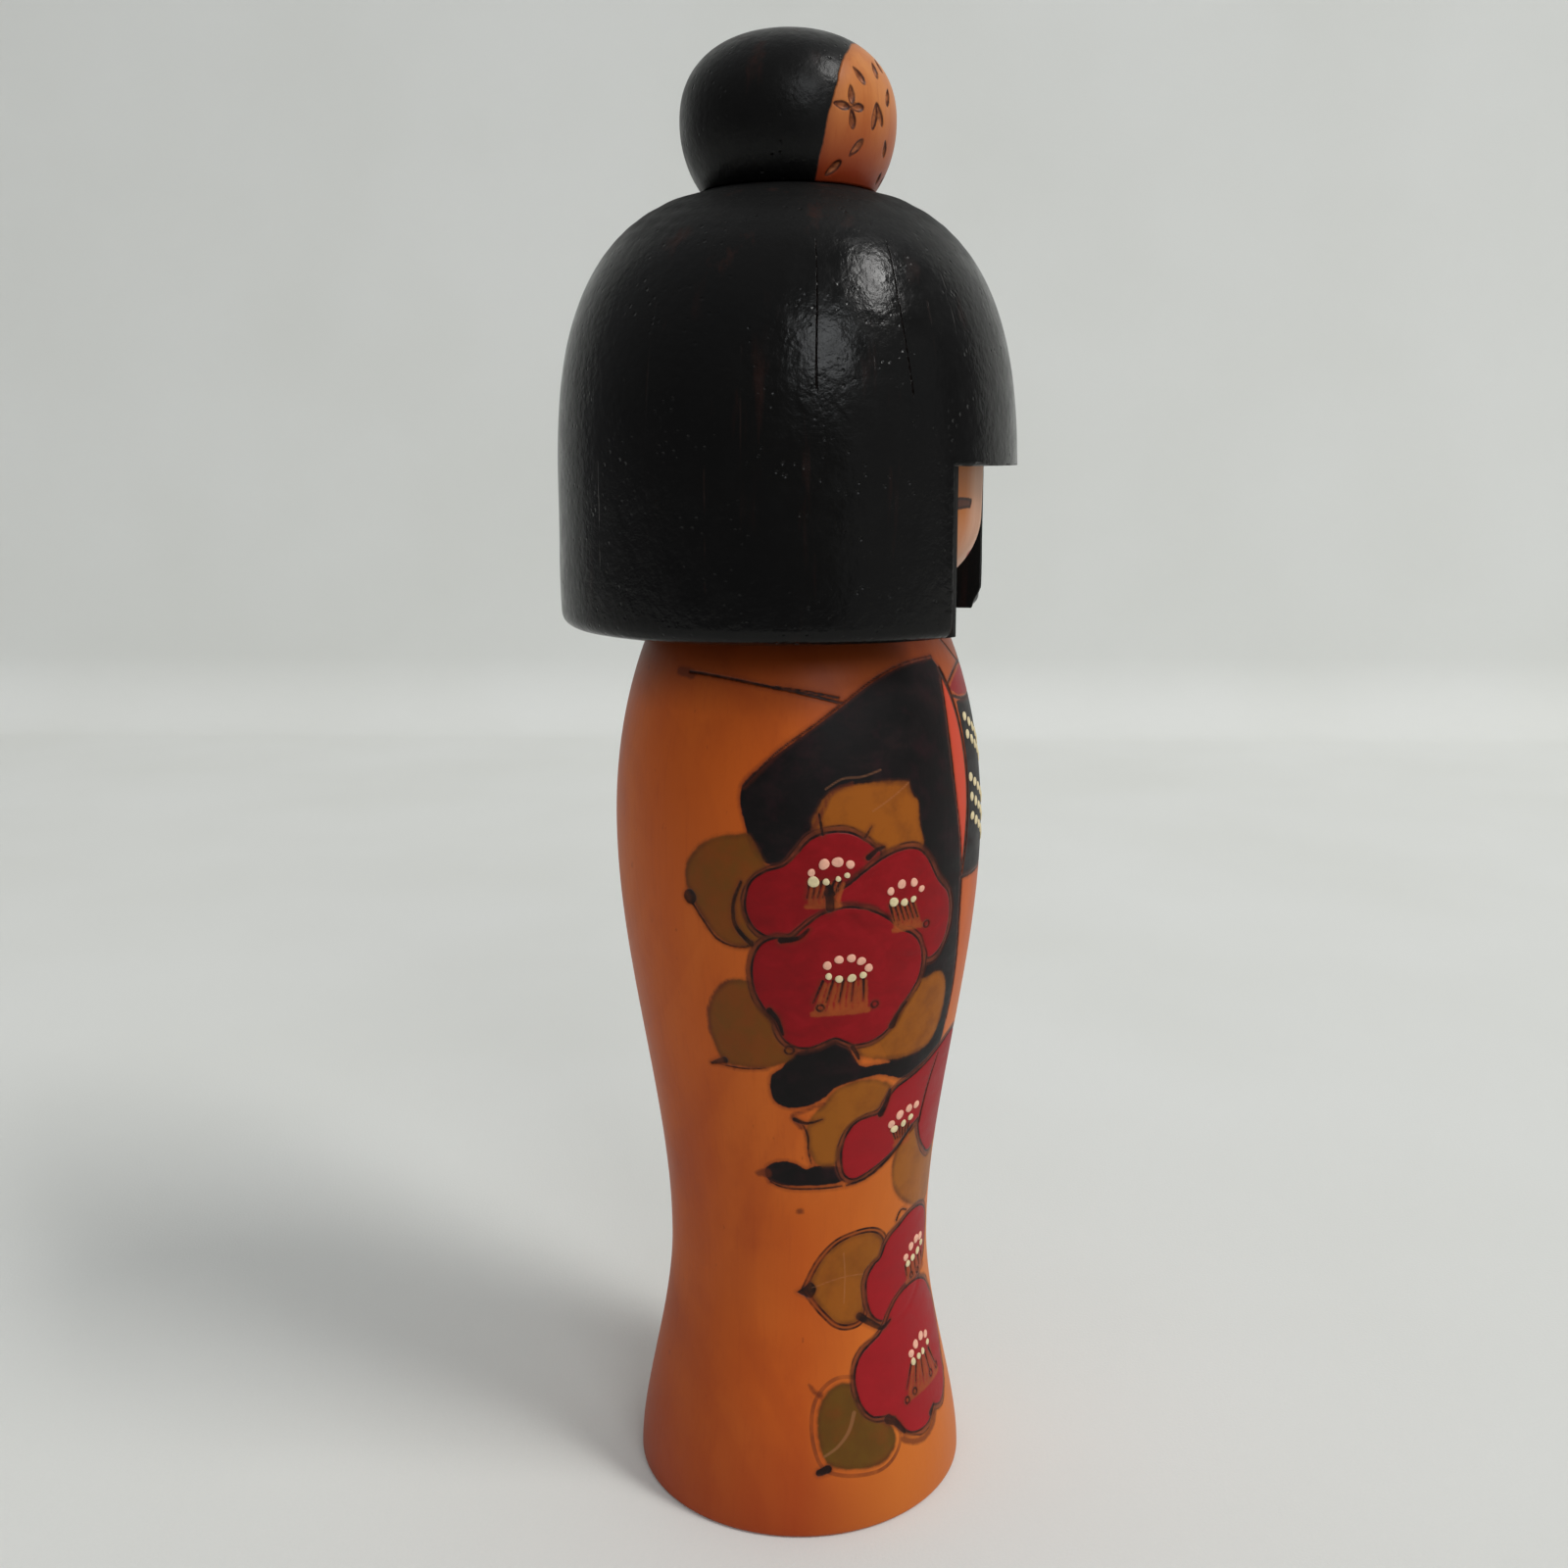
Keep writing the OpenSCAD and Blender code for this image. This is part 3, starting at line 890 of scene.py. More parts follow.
def body_material():
    s = Shader("stained_and_painted_wood")
    rings, fibres, clouds = wood_tone(s, 6, -14)
    wobble = s.times(s.noise(s.place, 900, 2.0), 0.5, -0.25)
    brush = s.noise(s.stretched(150, 150, 240), detail=4.0, rough=0.6, warp=0.4)
    patchy = s.noise(s.place, 190, 3.0, 0.6)
    black = s.remap(s.noise(s.place, 330, 2.0), 0.3, 0.6, 0.35, 1.0)
    colour = stained_wood_and_painted_light(s, rings, fibres, clouds)
    colour = painted_sleeves(s, colour, brush, patchy, wobble)
    colour = painted_leaves(s, colour, patchy, black, wobble)
    colour, petal_edges = painted_petals(s, colour, brush, patchy, black, wobble)
    colour, burn = drawn_lines(s, colour, brush, black, wobble)
    painted = s.mask("petal_1", 0.0, 0.3)
    for name in ("petal_2", "petal_3", "ground", "panel"):
        painted = s.most(painted, s.mask(name, 0.0, 0.3))
    rough = s.remap(clouds, 0.3, 0.7, 0.38, 0.48)
    rough = s.blend(painted, rough, s.remap(brush, 0.3, 0.8, 0.42, 0.6))
    height = s.times(fibres, 0.03)
    height = s.times(painted, 0.04, height)
    height = s.times(s.noise(s.place, 700, 3.0), 0.04, height)
    height = s.times(s.most(burn, petal_edges), -0.12, height)
    return s.finish(colour, rough, s.bump(height, 0.8), specular=0.16)


def painted_sleeves(s, colour, brush, patchy, wobble):
    """The dark cloth of the sleeves and the chest panel, and the red lining."""
    ground = s.ramp(brush, (0.3, (8, 6, 6)), (0.55, (16, 10, 11)), (0.8, (34, 19, 19)))
    ground = s.mix(s.remap(patchy, 0.5, 0.75, 0.0, 0.6), ground, (40, 15, 21))
    halo = s.mask("ground", 0.5, 0.9, wobble)
    colour = s.mix(s.times(halo, 0.5), colour, (84, 26, 20))
    colour = s.mix(s.mask("ground", 0.0, 0.25, wobble), colour, ground)
    colour = s.mix(s.mask("panel", 0.0, 0.2, wobble), colour, ground)
    return s.mix(s.mask("lining", 0.0, 0.25, wobble), colour, (196, 66, 40))


def painted_leaves(s, colour, patchy, black, wobble):
    """Leaves of mottled pigment, some inside burnt or brown outlines."""
    tone = s.layer("tone")
    pigment = s.ramp(
        tone, (0.0, (160, 84, 14)), (0.4, (146, 84, 18)), (0.65, (126, 62, 12)), (1.0, (80, 56, 10)))
    pigment = s.mix(s.remap(patchy, 0.45, 0.7, 0.0, 0.5), pigment, (112, 56, 12))
    mottle = s.remap(s.noise(s.place, 130, 4.0, 0.65), 0.42, 0.6)
    pigment = s.mix(s.times(mottle, s.remap(tone, 0.3, 1.0, 0.0, 0.7)), pigment, (86, 64, 12))
    leaf = s.layer("leaf")
    colour = s.mix(s.times(s.mask(leaf, 0.0, 0.5, wobble), 0.93), colour, pigment)
    rim = s.times(s.mask(leaf, 0.35, 0.8, wobble), s.mask(leaf, -0.7, -0.8))
    colour = s.mix(s.times(rim, s.remap(patchy, 0.35, 0.6, 0.15, 0.6)), colour, (84, 40, 16))
    burnt = s.layer("leaf_burnt")
    between = s.times(s.mask(burnt, 1.1, 0.4, wobble), s.mask(burnt, 0.0, -0.2))
    colour = s.mix(s.times(between, 0.55), colour, (96, 40, 18))
    lines = s.most(s.line(burnt, 0.15, 0.5), s.line(burnt, 1.05, 0.5))
    colour = s.mix(s.times(lines, black), colour, (34, 13, 8))
    brown = s.line("leaf_brown", 1.3, 0.9)
    return s.mix(s.times(brown, s.remap(patchy, 0.3, 0.7, 0.35, 0.9)), colour, (106, 48, 22))


def painted_petals(s, colour, brush, patchy, black, wobble):
    """The crimson collar and petals. Returns the burnt outlines of the petals as well."""
    crimson = s.ramp(brush, (0.25, (118, 6, 12)), (0.55, (134, 9, 17)), (0.85, (150, 18, 28)))
    # the lower flowers' crimson turns paler and pinker: partly a rosier red, partly a painted sheen
    crimson = s.mix(s.remap(s.z, 0.104, 0.094, 0.0, 0.35), crimson, (168, 34, 40))
    colour = s.mix(s.mask("collar", 0.0, 0.2, wobble), colour, crimson)
    scorched = s.mix(s.remap(patchy, 0.35, 0.65), (44, 16, 11), (116, 52, 32))
    sway = s.times(s.noise(s.place, 120, 2.0), 1.6, -0.7)
    outlines = 0.0
    for level in (1, 2, 3):
        d = s.layer(f"petal_{level}")
        swayed = s.plus(d, sway)
        strength = s.times(s.mask(swayed, BORDER, 0.8), s.remap(d, BORDER + 0.2, 0.1, 0.6, 1.0))
        colour = s.mix(strength, colour, scorched)
        outer = s.times(s.line(swayed, BORDER - 0.2, 0.4), s.remap(patchy, 0.42, 0.6, 0.0, 0.75))
        outline = s.most(outer, s.times(s.line(d, 0.22, 0.55), black))
        colour = s.mix(outline, colour, (30, 11, 8))
        colour = s.mix(s.mask(d, 0.0, 0.2, s.times(wobble, 0.6)), colour, crimson)
        outlines = s.most(s.times(outlines, s.mask(d, BORDER, -0.3)), outline)
    return colour, outlines


def drawn_lines(s, colour, brush, black, wobble):
    """Stamens, scorched patches, burnt lines and pale strokes. Returns the burnt lines as well."""
    thread = s.mix(brush, (104, 40, 16), (186, 94, 38))
    colour = s.mix(s.times(s.mask("stamen", 0.0, 0.4, wobble), 0.8), colour, thread)
    scorch = s.mask("scorch", 0.1, 0.6, wobble)
    colour = s.mix(s.times(scorch, 0.75), colour, (92, 38, 18))
    halo = s.times(s.mask("burn", 0.45, 0.9, wobble), 0.45)
    colour = s.mix(halo, colour, (96, 40, 20))
    burn = s.mask("burn", 0.03, 0.25, s.times(wobble, 0.5))
    colour = s.mix(s.times(burn, s.remap(black, 0.35, 1.0, 0.7, 1.0)), colour, (30, 12, 8))
    pale = s.mask("pale", 0.0, 0.25)
    return s.mix(s.times(pale, 0.3), colour, (176, 118, 82)), burn


def stained_wood_and_painted_light(s, rings, fibres, clouds):
    """Orange stain with specks and slanting figures, redder and darker at the foot; painted light makes it
    paler low on the front, and painted shade darkens it under the hair.
    """
    stain = s.ramp(clouds, (0.3, (176, 76, 21)), (0.52, (189, 88, 26)), (0.72, (199, 100, 34)))
    stain = s.mix(s.remap(rings, 0.5, 0.72, 0.0, 0.22), stain, (160, 66, 22))
    stain = s.mix(s.remap(fibres, 0.52, 0.78, 0.0, 0.28), stain, (158, 66, 24))
    mottle = s.noise(s.stretched(95, 95, 60), detail=4.0, rough=0.6)
    stain = s.mix(s.remap(mottle, 0.5, 0.72, 0.0, 0.32), stain, (156, 61, 20))
    specks = s.remap(s.noise(s.stretched(520, 520, 300), detail=2.0), 0.72, 0.8)
    stain = s.mix(s.times(specks, 0.45), stain, (92, 38, 18))
    height = s.times(clouds, 0.006, s.z)
    stain = s.mix(s.remap(height, 0.03, 0.004, 0.0, 0.65), stain, (150, 54, 19))
    slant = s.times(s.y, -0.95, s.times(mottle, 0.008, height))
    stain = s.mix(s.remap(slant, 0.034, 0.026, 0.0, 0.3), stain, (144, 50, 20))
    # painted light: the stain is paler low on the doll's front, the side the key window lights
    painted_light_low_front = s.times(s.remap(s.y, -0.006, -0.026), s.remap(height, 0.125, 0.1, 0.0, 0.5))
    stain = s.mix(painted_light_low_front, stain, (208, 122, 44))
    # painted shade: the stain goes nearly black just below the hair's rim, where the hair shades the
    # shoulders
    stain = s.mix(s.remap(height, 0.177, 0.193, 0.0, 0.92), stain, (46, 15, 9))
    return stain


def dot_material(name, colour):
    s = Shader(name)
    tint = s.noise(s.place, 900, 3.0)
    base = srgb(*colour)
    dull = tuple(c * 0.72 for c in base[:3]) + (1.0,)
    shade = s.mix(s.remap(tint, 0.4, 0.75, 0.0, 0.8), base, dull)
    height = s.times(s.noise(s.place, 1800, 2.0), 0.06)
    return s.finish(shade, s.remap(tint, 0.3, 0.7, 0.35, 0.5), s.bump(height, 0.7))


# ---------------------------------------------------------------- the head

def smooth_outline(node, axis_y, step, apex=False):
    """Heights and radii along a turned node's outside, evenly spaced along it."""
    heights, radii = outer_profile(node, axis_y)
    if apex:
        heights = np.append(heights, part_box(node)[1].z / MM)
        radii = np.append(radii, 0.05)
    along = np.concatenate([[0], np.cumsum(np.hypot(np.diff(heights), np.diff(radii)))])
    at = np.linspace(0, along[-1], round(along[-1] / step) + 1)
    return curve_through(along, heights, at), curve_through(along, radii, at)


def hair_sizes():
    """Rim, front of the side locks, half window, fringe, cavity and its roof, from the head's axis."""
    at, _ = node_points("hair")
    x, y, z = at[:, 0], at[:, 1] - HEAD_Y, at[:, 2]
    rim = z.min()
    lock_front = -y[z < rim + 8].min()
    window = abs(x[(z < rim + 8) & (abs(y + lock_front) < 0.02)]).min()
    fringe = z[y < -lock_front - 1].min()
    low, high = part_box("face_ball")
    cavity = (high.x - low.x) / 2 / MM + 0.3
    return rim, lock_front, window, fringe, cavity, high.z / MM + 0.3


def uneven(turns, heights, rng):
    """Shallow inward waves left by hand turning and sanding, in mm."""
    turn, height = np.meshgrid(np.radians(turns), heights)
    out = np.zeros(turn.shape)
    for waves, rise in ((2, 0.05), (3, 0.11), (5, 0.17), (7, 0.07)):
        a, b = rng.uniform(0, 2 * math.pi, 2)
        out += 0.03 * (1 + np.sin(waves * turn + a) * np.sin(rise * height + b))
    return out


def eased(value, start, end):
    t = np.clip((value - start) / (end - start), 0, 1)
    return t * t * (3 - 2 * t)


DEEP_CRACKS = (  # turn and height along each open crack, from its top, then its width
    ((70.5, 260), (71.2, 250), (71.8, 241), (71.9, 234), 0.22),
    ((49.6, 260), (50.4, 251), (49.9, 242), (48.8, 233), 0.24))
FINE_CRACKS = (  # turn, lower and upper height
    (33.8, 244, 255), (88.9, 206, 242), (41.5, 236, 250), (58, 232, 246), (97, 198, 222), (64, 196, 212),
    (112, 205, 250), (128, 195, 222), (150, 210, 256), (172, 200, 236), (-165, 214, 258),
    (-140, 198, 226), (-121, 222, 262), (-98, 200, 236), (-74, 212, 260), (-52, 226, 252),
    (-33, 232, 262), (12, 230, 258), (-10, 226, 250))
LEFT_LOCK_AHEAD = 0.6  # mm, how far the cut front of the doll's left lock stands before the right one's
LEFT_TIP_CUT = 1.7  # mm, how far the left lock's lower corner is rounded back
LEFT_TIP_LIFT = 1.2  # mm, how much higher the left lock ends


def window_turns(front, window, cavity, wide):
    """Turns of a lock's inner front corner, of where it meets the cavity, and of its outer front corner."""
    hole = math.degrees(math.atan2(window, front))
    wall = math.degrees(math.asin(window / cavity))
    corner = math.degrees(math.acos(front / wide))
    return hole, wall, corner


def hair_turns(left, right):
    """Turns of the hair's columns, closer together at the window's sides and along the open cracks."""
    hole, wall, corner = right
    stops = [-180, -left[2], -left[1], -left[0], hole, wall, corner, 48, 51.2, 69.8, 72.8, 180]
    counts = (150, 3, 4, 76, 4, 3, 12, 18, 18, 18, 115)
    spans = zip(stops, stops[1:], counts)
    return np.concatenate([np.linspace(a, b, n, endpoint=False) for a, b, n in spans])


def crack_layers(turns, heights, radii):
    """Distances to the open cracks, and to the fine ones."""
    canvas = grid_canvas(turns, heights, radii, ("deep", "fine"))
    rng = np.random.default_rng(3)
    for *path, width in DEEP_CRACKS:
        canvas.stroke("deep", path, width * 0.6, width)
    for turn, low, high in FINE_CRACKS:
        path = [(turn + rng.uniform(-0.4, 0.4), z) for z in np.linspace(high, low, 7)]
        canvas.stroke("fine", path, 0.3, 0.12)
    return [canvas.layers[name].reshape(len(heights), -1) for name in ("deep", "fine")]


def split_rows(heights, radii, fringe):
    """Heights and radii of the rows up to the fringe's lower edge, and of those from it on."""
    low, high = heights < fringe - 0.4, heights > fringe + 0.4
    fringe_r = np.interp(fringe, heights, radii)
    z_low, r_low = np.append(heights[low], fringe), np.append(radii[low], fringe_r)
    z_high, r_high = np.append(fringe, heights[high]), np.append(fringe_r, radii[high])
    return z_low, r_low, z_high, r_high


def skin_faces(count, gap, roof_row, edge_row):
    """Faces of the hair's skin. Inside the window they go straight from the roof to the fringe's edge."""
    cols = len(gap)
    open_column = gap & np.roll(gap, -1)
    quads = np.array(grid_faces(count, cols)).reshape(count - 1, cols, 4)
    keep = np.ones((count - 1, cols), bool)
    keep[roof_row:edge_row] = ~open_column
    faces = quads[keep].tolist()
    roof, edge = roof_row * cols, edge_row * cols
    for c in np.flatnonzero(open_column):
        after = (c + 1) % cols
        faces.append([roof + c, edge + c, edge + after, roof + after])
    faces.append(list(range(cols)))
    faces.append(list(range((count - 1) * cols, count * cols))[::-1])
    return faces


def make_hair():
    """One closed skin: cavity roof, cavity wall, rim, outside, and the seat of the bun."""
    rim, lock_front, window, fringe, cavity, ceiling = hair_sizes()
    heights, radii = smooth_outline("hair", HEAD_Y, 0.8)
    z_low, r_low, z_high, r_high = split_rows(heights, radii, fringe)
    wide = radii.max()
    right = window_turns(lock_front, window, cavity, wide)
    left = window_turns(lock_front + LEFT_LOCK_AHEAD, window, cavity, wide)
    turns = hair_turns(left, right)
    on_left = turns < 0
    hole, wall, corner = np.where(on_left, np.array(left)[:, None], np.array(right)[:, None])
    side = abs(turns)
    gap = side < hole + 1e-6
    facing = side < corner + 1e-6
    # the left lock ends in a rounder corner that stops a little higher
    near_rim = 1 - eased(z_low, rim, rim + 5.5)[:, None]
    plane = lock_front + on_left * (LEFT_LOCK_AHEAD - LEFT_TIP_CUT * near_rim)
    tip = (1 - eased(side, corner, corner + 25)) * (1 - eased(z_low, rim, rim + 9)[:, None])
    tip_lift = LEFT_TIP_LIFT * on_left * tip
    # near the rim the window's edge moves sideways, as the rounded rim cuts its corner off
    reach = np.minimum(r_low[:, None], np.hypot(window, plane))
    edge = np.degrees(np.arcsin(np.minimum(window / reach, 0.99)))
    share = np.clip((wall - side) / (wall - hole), 0, 1) * (side <= wall + 1e-6)
    turn_low = np.sign(turns) * np.where(share > 0, wall - (wall - edge) * share, side)
    front = plane / np.cos(np.radians(np.where(facing, turn_low, 0)))
    front = np.where(gap, np.hypot(window, plane), front)
    rng = np.random.default_rng(21)
    wave = uneven(turns, np.append(z_low, z_high[1:]), rng) * eased(side, corner, corner + 12)
    outer_low = np.where(facing, np.minimum(r_low[:, None], front), r_low[:, None]) - wave[:len(z_low)]
    wave_high = uneven(turns, z_high, rng)
    fade = eased(z_high[:, None], fringe, fringe + 14)
    outer_high = r_high[:, None] - wave[len(z_low) - 1:] * (1 - fade) - wave_high * fade
    slanted = window / np.maximum(np.sin(np.radians(abs(turn_low))), 0.01)
    inner_low = np.where(side < wall + 1e-6, np.minimum(slanted, outer_low), cavity)
    deep, fine = crack_layers(turns, np.append(z_low, z_high[1:]), np.append(r_low, r_high[1:]))
    depth = 0.22 * groove(deep, 0.1)
    outer_low = outer_low - depth[:len(z_low)]
    outer_high = outer_high - depth[len(z_low) - 1:]
    z_edge = chipped_edge(turns, z_high)
    roof_z = [ceiling, ceiling, ceiling - 4, ceiling - 14, fringe]
    roof_r = np.array([0.05, cavity - 14, cavity - 4, cavity, cavity])
    rows = [turned_points(turns, roof_z, roof_r, HEAD_Y)]
    rows.append(turned_points(turn_low[::-1], z_low[::-1], inner_low[::-1], HEAD_Y))
    rows[-1][..., 2] += tip_lift[::-1]
    rows.append(turned_points(turn_low, z_low, outer_low, HEAD_Y))
    rows[-1][..., 2] += tip_lift
    rows.append(turned_points(turns, z_high, outer_high, HEAD_Y))
    rows[-1][..., 2] = z_edge
    rows.append(turned_points(turns, [z_high[-1], z_high[-1]], np.array([r_high[-1] - 0.5, 0.05]), HEAD_Y))
    points = np.concatenate(rows)
    count, cols = points.shape[:2]
    seam_row = len(z_low)
    first_outer, last_low = len(roof_z) + seam_row, len(roof_z) + 2 * seam_row - 1
    faces = skin_faces(count, gap, len(roof_z) - 1, last_low)
    piece = add_piece("hair_turned", points, faces, lacquer_material(), "head", ["hair"])
    for name, values in (("crack_deep", deep), ("crack_fine", fine)):
        doubled = np.concatenate([values[:seam_row], values[seam_row - 1:]])
        set_rows(piece, name, (count, cols), first_outer, doubled)
    cut = np.full((last_low + 1, cols), -1.0)
    cut[first_outer:] = (side - corner) * 0.5
    set_rows(piece, "cut", (count, cols), 0, cut)
    weld(piece, 0.02)
    round_edges(piece, 0.16)
    return piece


def chipped_edge(turns, z_high):
    """Heights of the upper hair's points, with small chips broken out of the fringe's lower edge."""
    rng = np.random.default_rng(5)
    heights = np.repeat(z_high[:, None], len(turns), 1)
    for turn in rng.uniform(-37, 37, 30):
        near = np.exp(-((turns - turn) / rng.uniform(0.5, 1.1)) ** 2)
        heights[0] += near * rng.uniform(0.15, 0.7)
    heights[0] = np.minimum(heights[0], heights[1] - 0.1)
    return heights


def round_edges(piece, width):
    """Round every sharp edge of a piece a little; the width is in millimetres."""
    mesh = bmesh.new()
    mesh.from_mesh(piece.data)
    sharp = [e for e in mesh.edges if len(e.link_faces) == 2 and e.calc_face_angle(0) > math.radians(38)]
    bmesh.ops.bevel(mesh, geom=sharp, offset=width * MM, segments=2, profile=0.5, affect="EDGES",
                    clamp_overlap=True)
    for face in mesh.faces:
        face.smooth = True
    mesh.to_mesh(piece.data)
    mesh.free()


def lacquer(s, clouds, streaks):
    """Colour, roughness and relief of aged black lacquer: orange peel, pores, grain and rubbed marks."""
    black = s.ramp(clouds, (0.3, (4, 4, 4)), (0.7, (9, 8, 7)))
    rubbed = s.times(s.remap(streaks, 0.58, 0.76), s.remap(clouds, 0.46, 0.64))
    black = s.mix(s.times(rubbed, 0.45), black, (64, 28, 18))
    pits = s.remap(s.cells(s.place, 560), 0.24, 0.04)
    pits = s.times(pits, s.remap(s.noise(s.place, 130, 2.0), 0.48, 0.6))
    relief = s.times(s.noise(s.place, 620, 3.0, 0.55), 0.14)
    relief = s.times(s.noise(s.place, 150, 2.0), 0.13, relief)
    relief = s.times(streaks, 0.07, relief)
    relief = s.times(pits, -0.16, relief)
    rough = s.remap(s.noise(s.place, 240, 3.0), 0.3, 0.7, 0.15, 0.27)
    rough = s.times(rubbed, 0.2, rough)
    return black, rough, relief


def lacquer_material():
    s = Shader("hair_lacquer")
    streaks = s.noise(s.stretched(170, 170, 16), detail=4.0, rough=0.6)
    colour, rough, relief = lacquer(s, s.noise(s.place, 28, 3.0), streaks)
    deep = s.mask("crack_deep", 0.0, 0.2)
    fine = s.mask("crack_fine", 0.05, 0.25)
    rough = s.plus(rough, s.remap(s.z, 0.258, 0.27, 0.0, 0.45))
    rough = s.most(rough, s.times(s.mask("cut", 0.0, 0.2), 0.95))
    colour = s.mix(s.times(deep, 0.85), colour, (20, 11, 8))
    colour = s.mix(s.times(fine, s.remap(streaks, 0.4, 0.6, 0.1, 0.6)), colour, (34, 22, 18))
    relief = s.times(deep, -0.2, s.times(fine, -0.05, relief))
    return s.finish(colour, rough, s.bump(relief, 0.8), specular=0.18)


# ---------------------------------------------------------------- the bun

BARE_LINE_Z = 286.4  # mm, height at which the edge of the bun's bare wood is furthest forward
GOUGES = (  # tail and tip of each carved cut, as turn and height
    (41.1, 293.4, 35.0, 290.4), (45.0, 289.9, 44.7, 286.5), (55.4, 286.4, 46.0, 285.9),
    (45.3, 285.9, 36.8, 286.2), (44.9, 285.6, 43.2, 282.2), (26.9, 287.7, 29.4, 282.7),
    (26.4, 287.6, 20.8, 283.7), (42.8, 277.7, 35.1, 280.8), (55.7, 274.2, 47.2, 276.8),
    (12.2, 291.0, 16.6, 287.6), (15.4, 281.6, 11.8, 278.8), (6.3, 276.4, 5.4, 274.3),
    (20.8, 295.3, 23.3, 292.2), (10.5, 296.6, 13.0, 294.0))


def make_bun():
    """The knob on top of the hair, with its carved cuts and the bore for its peg."""
    heights, radii = smooth_outline("bun", BUN_Y, 0.34, apex=True)
    turns = ring_angles(-80, 80, 1.0, 2.4)
    canvas = grid_canvas(turns, heights, np.maximum(radii, 1.0), ("gouge",))
    for mirror in (1, -1):
        canvas.draw_at(mirror)
        for tail_turn, tail_z, tip_turn, tip_z in GOUGES:
            add_gouge(canvas, (tail_turn, tail_z), (tip_turn, tip_z), 1.5)
    gouge = canvas.layers["gouge"].reshape(len(heights), -1)
    depth = 0.62 * groove(gouge, 0.85) ** 0.7
    outside = turned_points(turns, heights, radii[:, None] - depth, BUN_Y)
    deep, low = heights[0] + 9.05, heights[0]
    bore = turned_points(turns, [deep, deep, low, low], np.array([0.05, 4.02, 4.02, radii[0] - 0.4]), BUN_Y)
    points = np.concatenate([bore, outside])
    faces = capped_faces(*points.shape[:2])
    piece = add_piece("bun_turned", points, faces, bun_material(), "head", ["bun"])
    set_rows(piece, "gouge", points.shape[:2], len(bore), gouge)
    return piece


def add_gouge(canvas, tail, tip, width):
    """A leaf-shaped cut, rounder at its tip than at its tail."""
    degree = math.radians(float(np.interp((tail[1] + tip[1]) / 2, *canvas.profile)))
    along = np.array([(tip[0] - tail[0]) * degree, tip[1] - tail[1]])
    across = np.array([-along[1], along[0]]) / np.hypot(*along) * width / 2
    swells = (0, 0.75, 1, 0.62, 0, -0.62, -1, -0.75)
    shares = (0, 0.3, 0.62, 0.9, 1, 0.9, 0.62, 0.3)
    outline = []
    for share, swell in zip(shares, swells):
        away = along * share + across * swell
        outline.append((tail[0] + away[0] / degree, tail[1] + away[1]))
    canvas.area("gouge", outline)


def bun_material():
    """Bare stained wood at the front, black lacquer behind a brushed edge, and cuts that show darker wood."""
    s = Shader("bun_wood_and_lacquer")
    forward = s.times(s.y, -1 / MM, BUN_Y)
    rise = s.times(s.z, 1 / MM, -BARE_LINE_Z)
    line = s.times(rise, 0.225, 11.75)
    line = s.times(s.times(rise, rise), -0.004, line)
    ragged = s.times(s.noise(s.place, 200, 3.0), 1.1, -0.55)
    edge = s.plus(s.math("SUBTRACT", line, forward), ragged)
    bare = s.remap(edge, 0.12, -0.25)
    halo = s.remap(edge, -1.8, 0.0, 0.0, 1.0)
    rings, fibres, clouds = wood_tone(s, 3, -4, 420.0)
    wood = s.ramp(clouds, (0.3, (184, 108, 54)), (0.55, (197, 125, 68)), (0.75, (208, 139, 82)))
    wood = s.mix(s.remap(rings, 0.45, 0.7, 0.0, 0.35), wood, (166, 78, 34))
    wood = s.mix(s.remap(fibres, 0.5, 0.75, 0.0, 0.3), wood, (150, 70, 30))
    # painted shade: the bare wood turns darker and redder towards the foot of the bun, where the dome turns
    # under
    low = s.times(clouds, 5.0, rise)
    wood = s.mix(s.remap(low, 5.0, -9.5, 0.0, 0.9), wood, (134, 38, 13))
    wood = s.mix(s.times(halo, 0.4), wood, (120, 44, 22))
    streaks = s.noise(s.stretched(170, 170, 16), detail=4.0, rough=0.6)
    black, rough, relief = lacquer(s, clouds, streaks)
    colour = s.mix(bare, black, wood)
    gouge = s.layer("gouge")
    cut_wood = s.mix(s.remap(s.noise(s.place, 800, 2.0), 0.35, 0.65), (96, 46, 24), (160, 94, 56))
    colour = s.mix(s.times(s.mask(gouge, -0.05, 0.2), s.blend(bare, 0.25, 0.9)), colour, cut_wood)
    lip = s.times(s.line(gouge, -0.08, 0.42), bare)
    lip = s.times(lip, s.remap(s.noise(s.place, 500, 2.0), 0.35, 0.6, 0.55, 1.0))
    colour = s.mix(lip, colour, (58, 22, 10))
    rough = s.blend(bare, s.plus(rough, 0.14), 0.4)
    relief = s.blend(bare, relief, s.times(fibres, 0.04))
    relief = s.times(bare, -0.05, relief)
    return s.finish(colour, rough, s.bump(relief, 0.8), specular=0.18)


# ---------------------------------------------------------------- the face

